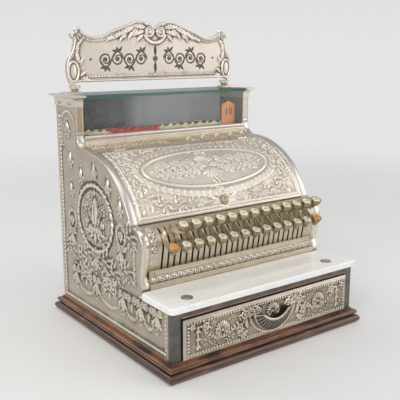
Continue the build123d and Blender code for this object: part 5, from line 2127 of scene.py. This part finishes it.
@dataclass
class KeyTops(SubAssembly):
    """A rimmed ivory button and a number on each key."""

    count: int = 27
    pitch: float = 13.2
    tilt: float = 25.0
    lower: tuple[float, float] = (-146.01, 211.0)
    upper: tuple[float, float] = (-155.51, 250.6)
    sides: int = 28
    number_size: float = 6.4
    number_rise: float = 1.12
    cup: Table = (
        (0.0, -11.2), (6.35, -11.15), (7.9, -8.6), (9.2, -5.9), (10.1, -3.4), (10.4, -1.4),
        (10.35, 0.2), (9.9, 1.1), (9.2, 1.35), (8.5, 1.0), (8.15, 0.45),
    )
    button: Table = ((7.2, 0.62), (4.8, 0.98), (2.4, 1.15), (0.0, 1.2))

    def build(self, palette: Palette) -> None:
        """Turn each top on its key's tilted face and set its number."""
        finishes = [0] * (len(self.cup) - 1) + [1] * len(self.button)
        for k in range(self.count):
            body = f"key_{k + 1:02d}"
            y, z = self.lower if k % 2 == 0 else self.upper
            place = tilt_at((k - (self.count - 1) / 2.0) * self.pitch, y, z, self.tilt)
            face = palette.amber if k in (0, self.count - 1) else palette.ivory
            top = turned(f"{body}_top", self.cup + self.button, self.sides, place, finishes)
            top.place([palette.cup, face], body, Slot.KEY)
            lifted = place @ Matrix.Translation((0.0, 0.0, self.number_rise))
            number = numeral(f"{body}_number", str((k + 1) * 5), self.number_size, lifted)
            number.place([palette.ink], body, Slot.KEY, smooth=False)


@dataclass
class Tablets(SubAssembly):
    """The lowered tablets' tips in their colours, and the raised tablet's number."""

    count: int = 26
    pitch: float = 13.2
    width: float = 36.0
    height: float = 60.0
    thickness: float = 1.6
    layers: int = 3
    layer: float = 8.0
    front_y: float = 137.0
    foot: float = 321.075
    rod: float = 53.0
    rod_half: float = 2.5
    knob_half: float = 2.9
    red: range = range(3, 13)
    raised: tuple[float, float, float] = (171.6, 136.2, 399.0)
    raised_size: float = 23.0

    def build(self, palette: Palette) -> None:
        """Place the bank, and the number on the raised tablet."""
        bank = self._bank().place([palette.yellow, palette.red], "case", Slot.TABLETS, smooth=False)
        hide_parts("tablet_bank")
        number = numeral("raised_number", "10", self.raised_size, tilt_at(*self.raised, 90.0))
        number.place([palette.ink], "raised_tablet", Slot.RAISED, smooth=False)

    def _outline(self) -> Array:
        """One tablet's outline on its rod: its right half and then the mirror image.

        Returns:
            The outline's points across and up.
        """
        half, rod, knob, top = 0.5 * self.width, self.rod_half, self.knob_half, self.height
        shoulder, neck = 0.88 * top, 0.95 * top
        right = [(rod, -self.rod), (rod, 0.0), (half, 0.0), (half, shoulder - 3.0), (half - 2.0, shoulder)]
        right += [(knob + 4.0, neck - 1.5), (knob, neck), (knob - 0.6, top - 1.0), (1.2, top)]
        return np.array(right + [(-x, z) for x, z in reversed(right)])

    def _bank(self) -> Piece:
        """Every lowered tablet, cut from one outline, as one piece.

        Returns:
            The piece.
        """
        line = self._outline()
        size = len(line)
        loop = np.arange(size)
        after = np.roll(loop, -1)
        points, faces, finish = [], [], []
        for k in range(self.count):
            x = (k - self.count // 2) * self.pitch
            y = self.front_y + (self.count - k) % self.layers * self.layer
            for depth in (-0.5 * self.thickness, 0.5 * self.thickness):
                points.append(xyz(x + line[:, 0], y + depth, self.foot + line[:, 1]))
            first = 2 * size * k
            faces.append((first + loop).tolist())
            faces.append((first + size + loop[::-1]).tolist())
            faces += (first + np.stack([loop, loop + size, after + size, after], -1)).tolist()
            finish += [int(k in self.red)] * (size + 2)
        return Piece("tablet_tips", np.concatenate(points), faces, {}, np.array(finish))


@dataclass
class ShelfCaps(SubAssembly):
    """The two cast caps let into the marble shelf."""

    x: float = 168.0
    y: float = -178.18
    top: float = 129.0
    radius: float = 10.8

    def build(self, palette: Palette) -> None:
        """Make each cap: petals on a shallow dome inside a raised rim."""
        u, v = polar_grid(self.radius)
        share = np.hypot(u, v) / self.radius
        swing = np.abs(np.cos(4.0 * np.arctan2(v, u)))
        petal = swing * np.sin(np.pi * unit((share - 0.25) / 0.55)) ** 0.7
        heart = ridge(share, 0.24, 0.8)
        rim = ridge(share - 0.9, 0.08, 0.7)
        height = dome(share**2) + 0.9 * petal + heart + rim
        wear = unit(0.12 + 0.5 * petal + 0.6 * heart + 0.6 * rim)
        for name, side in SIDES:
            place = Matrix.Translation((side * self.x, self.y, self.top))
            cap = polar_cap(f"{name}_shelf_cap", place, u, v, height, 0.6, wear=wear)
            cap.place([palette.rosette])


@dataclass
class CapitalStuds(SubAssembly):
    """The round brass heads on the capitals' outer faces."""

    face_x: float = 217.0
    places: tuple[float, float] = (138.75, 182.75)
    z: float = 435.275
    sides: int = 20
    profile: Table = ((0.0, -0.6), (2.75, -0.6), (2.75, 1.4), (2.2, 2.3), (1.2, 2.8), (0.0, 2.95))

    def build(self, palette: Palette) -> None:
        """Turn each head and lay it over on its side."""
        for name, side in SIDES:
            lean = Matrix.Rotation(math.radians(90.0 * side), 4, "Y")
            for k, y in enumerate(self.places):
                place = Matrix.Translation((side * self.face_x, y, self.z)) @ lean
                head = turned(f"{name}_stud_{k + 1}", self.profile, self.sides, place)
                head.place([palette.brass])


@dataclass
class LockFace(SubAssembly):
    """The lock's face: a stepped brass disc with a keyhole, in a fixed brass ring."""

    y: float = -67.0
    z: float = 254.92
    angle: float = 152.19
    proud: float = 1.5
    radius: float = 5.7
    slot_half: tuple[float, float] = (0.95, 4.3)
    hole_rise: float = 1.2
    hole_radius: float = 1.5
    ring_sides: int = 48
    ring: Table = (
        (6.35, -1.2), (6.35, 0.5), (6.9, 1.2), (8.7, 1.2), (9.7, 0.5), (10.3, -0.6), (10.3, -1.2),
    )

    def build(self, palette: Palette) -> None:
        """Make the face. The keyhole is a tall slot with a round hole in it, both as shallow cuts painted near
        black as painted shade of the hole.
        """
        u, v = polar_grid(self.radius, 30, 84)
        share = np.hypot(u, v) / self.radius
        hole = np.hypot(u, v - self.hole_rise) < self.hole_radius
        slot = ((np.abs(u) < self.slot_half[0]) & (np.abs(v) < self.slot_half[1])) | hole
        step = unit((0.82 - share) / 0.06)
        height = 0.35 + 0.45 * step - 0.5 * slot
        wear = unit(0.7 - 0.5 * np.exp(-(((share - 0.84) / 0.05) ** 2)))
        seat = tilt_at(0.0, self.y, self.z, self.angle - 90.0)
        place = seat @ Matrix.Translation((0.0, 0.0, self.proud))
        # painted shade: ink paints the keyhole's shallow cut near black, for the depth of a real hole
        face = polar_cap("lock_face", place, u, v, height, 0.8, wear=wear, ink=0.95 * slot)
        face.place([palette.lock], "lock", Slot.BRASS)
        hoop("lock_ring", self.ring, self.ring_sides, place).place([palette.cup], "lid", Slot.BRASS)


def dress_nodes(frame: dict, palette: Palette) -> None:
    """Give every CAD node its own finish.

    Args:
        palette: the finishes.
    """
    groups = (
        (palette.body, ("left_side_panel", "right_side_panel", "back_panel")),
        (palette.body, ("shelf_rosettes", "drawer_front")),
        (palette.plate, ("capitals", "top_sign", "sign_posts", "lid")),
        (palette.oak, ("drawer_runners", "drawer_box", "drawer_dividers")),
        (palette.bed, ("keyboard_plate", "key_moulding")),
        (palette.brass, ("bell_gong", "lock_plug")),
        (palette.walnut, ("wood_base",)),
        (palette.polish, ("window_sill",)),
        (palette.window, ("window_glass",)),
        (palette.top_glass, ("top_glass",)),
        (palette.marble, ("marble_shelf",)),
        (palette.frame, ("drawer_frame",)),
        (palette.orange, ("raised_tablet",)),
        (palette.wheel, ("counter_wheels",)),
    )
    finishes = {name: finish for finish, names in groups for name in names}
    for name, node in frame["nodes"].items():
        material = palette.lever if name.startswith("key_") else palette.steel
        node.data.materials.clear()
        node.data.materials.append(finishes.get(name, material))


@dataclass
class Studio:
    """The floor, the lights and the camera."""

    camera: tuple[float, float, float] = (-0.79733, -1.06357, 0.54259)
    look: tuple[float, float, float] = (0.58100, 0.78359, -0.22006)
    lens: float = 61.34
    floor_size: float = 160.0
    far_tone: Colour = (0.78, 0.78, 0.78)
    floor_tones: tuple[Colour, Colour] = ((0.78, 0.78, 0.77), (0.81, 0.81, 0.8))
    sky_tone: Colour = (0.34, 0.34, 0.35)
    aim: tuple[float, float, float] = (0.0, 0.0, 0.28)

    def build(self) -> None:
        """Set the stage."""
        self._floor()
        self._world()
        self._lamp("key", (-2.35, -1.75, 2.25), 2.2, 57.0, (1.0, 0.965, 0.915))
        self._lamp("fill", (2.4, -1.7, 1.5), 2.2, 24.0, (0.98, 0.98, 1.0))
        self._lamp("back", (-0.6, 2.2, 2.4), 2.0, 22.0, (1.0, 1.0, 1.0))
        self._lamp("top", (0.2, -0.3, 2.8), 1.8, 14.0, (1.0, 0.99, 0.97))
        data = bpy.data.cameras.new("camera")
        data.lens = self.lens
        data.sensor_width = 36.0
        thing = in_scene("camera", data)
        thing.location = self.camera
        thing.rotation_euler = Vector(self.look).to_track_quat("-Z", "Y").to_euler()
        bpy.context.scene.camera = thing
        bpy.context.scene.view_settings.view_transform = "Standard"

    def _floor(self) -> None:
        """A pale floor that turns, for the eye and in mirrors, to the far tone away from the register."""
        half = 0.5 * self.floor_size
        edge = np.linspace(-half, half, 3)
        a, b = np.meshgrid(edge, edge)
        points = xyz(a, b, 0.0).reshape(-1, 3)
        mesh = bpy.data.meshes.new("floor")
        mesh.from_pydata(points.tolist(), [], grid_faces(3, 3).tolist())
        s = Shader("pale_floor")
        pale = s.mix(s.noise(3.0), *self.floor_tones)
        mesh.materials.append(s.done(Base_Color=pale, Roughness=0.6))
        seen = 0.0
        for kind in ("Is Camera Ray", "Is Glossy Ray", "Is Transmission Ray"):
            seen = s.add("ShaderNodeLightPath", {}, {}, kind) + seen
        away = s.add("ShaderNodeVectorMath", {"operation": "LENGTH"}, {0: s.coords()}, "Value")
        glow = s.add("ShaderNodeEmission", {}, {"Color": self.far_tone})
        lit = Value(s, s.surface.outputs[0])
        blend = s.add("ShaderNodeMixShader", {}, {0: away.ramp(0.9, 2.6) * seen, 1: lit, 2: glow})
        s.put(s.tree.nodes["Material Output"].inputs["Surface"], blend)
        floor = in_scene("floor", mesh)

    def _world(self) -> None:
        """Even soft light, pale at the horizon and darker overhead so that the metal has shape."""
        world = bpy.data.worlds.new("studio")
        world.use_nodes = True
        bpy.context.scene.world = world
        tree = world.node_tree
        coords = tree.nodes.new("ShaderNodeTexCoord")
        split = tree.nodes.new("ShaderNodeSeparateXYZ")
        ramp = tree.nodes.new("ShaderNodeValToRGB")
        ramp.color_ramp.elements[0].position = 0.0
        ramp.color_ramp.elements[0].color = rgba(self.far_tone)
        ramp.color_ramp.elements[1].position = 0.75
        ramp.color_ramp.elements[1].color = rgba(self.sky_tone)
        tree.links.new(coords.outputs["Generated"], split.inputs[0])
        tree.links.new(split.outputs[2], ramp.inputs[0])
        tree.links.new(ramp.outputs[0], tree.nodes["Background"].inputs[0])
        tree.nodes["Background"].inputs[1].default_value = 1.0

    def _lamp(self, name: str, place: Sequence[float], size: float, power: float, colour: Colour) -> None:
        """One square soft lamp that looks at the register's middle.

        Args:
            name: the lamp's name.
            place: where it hangs, in metres.
            size: its side.
            power: its watts.
            colour: its light's colour.
        """
        data = bpy.data.lights.new(name, "AREA")
        data.size = size
        data.energy = power
        data.color = colour
        thing = in_scene(name, data)
        thing.location = place
        way = Vector(self.aim) - Vector(place)
        thing.rotation_euler = way.to_track_quat("-Z", "Y").to_euler()


def main() -> None:
    """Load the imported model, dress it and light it."""
    logging.basicConfig(level=logging.INFO, format="%(name)s %(message)s")
    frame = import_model()
    palette = Palette()
    dress_nodes(frame, palette)
    parts: tuple[SubAssembly, ...] = (
        SideCastings(), LidCover(), Frieze(), BackCasting(), DrawerDress(), CrestSign(), KeyBed(),
        EdgeBands(), KeyTops(), Tablets(), ShelfCaps(), LockFace(), CapitalStuds(),
    )
    for part in parts:
        part.build(palette)
    Studio().build()


if __name__ == "__main__":
    main()
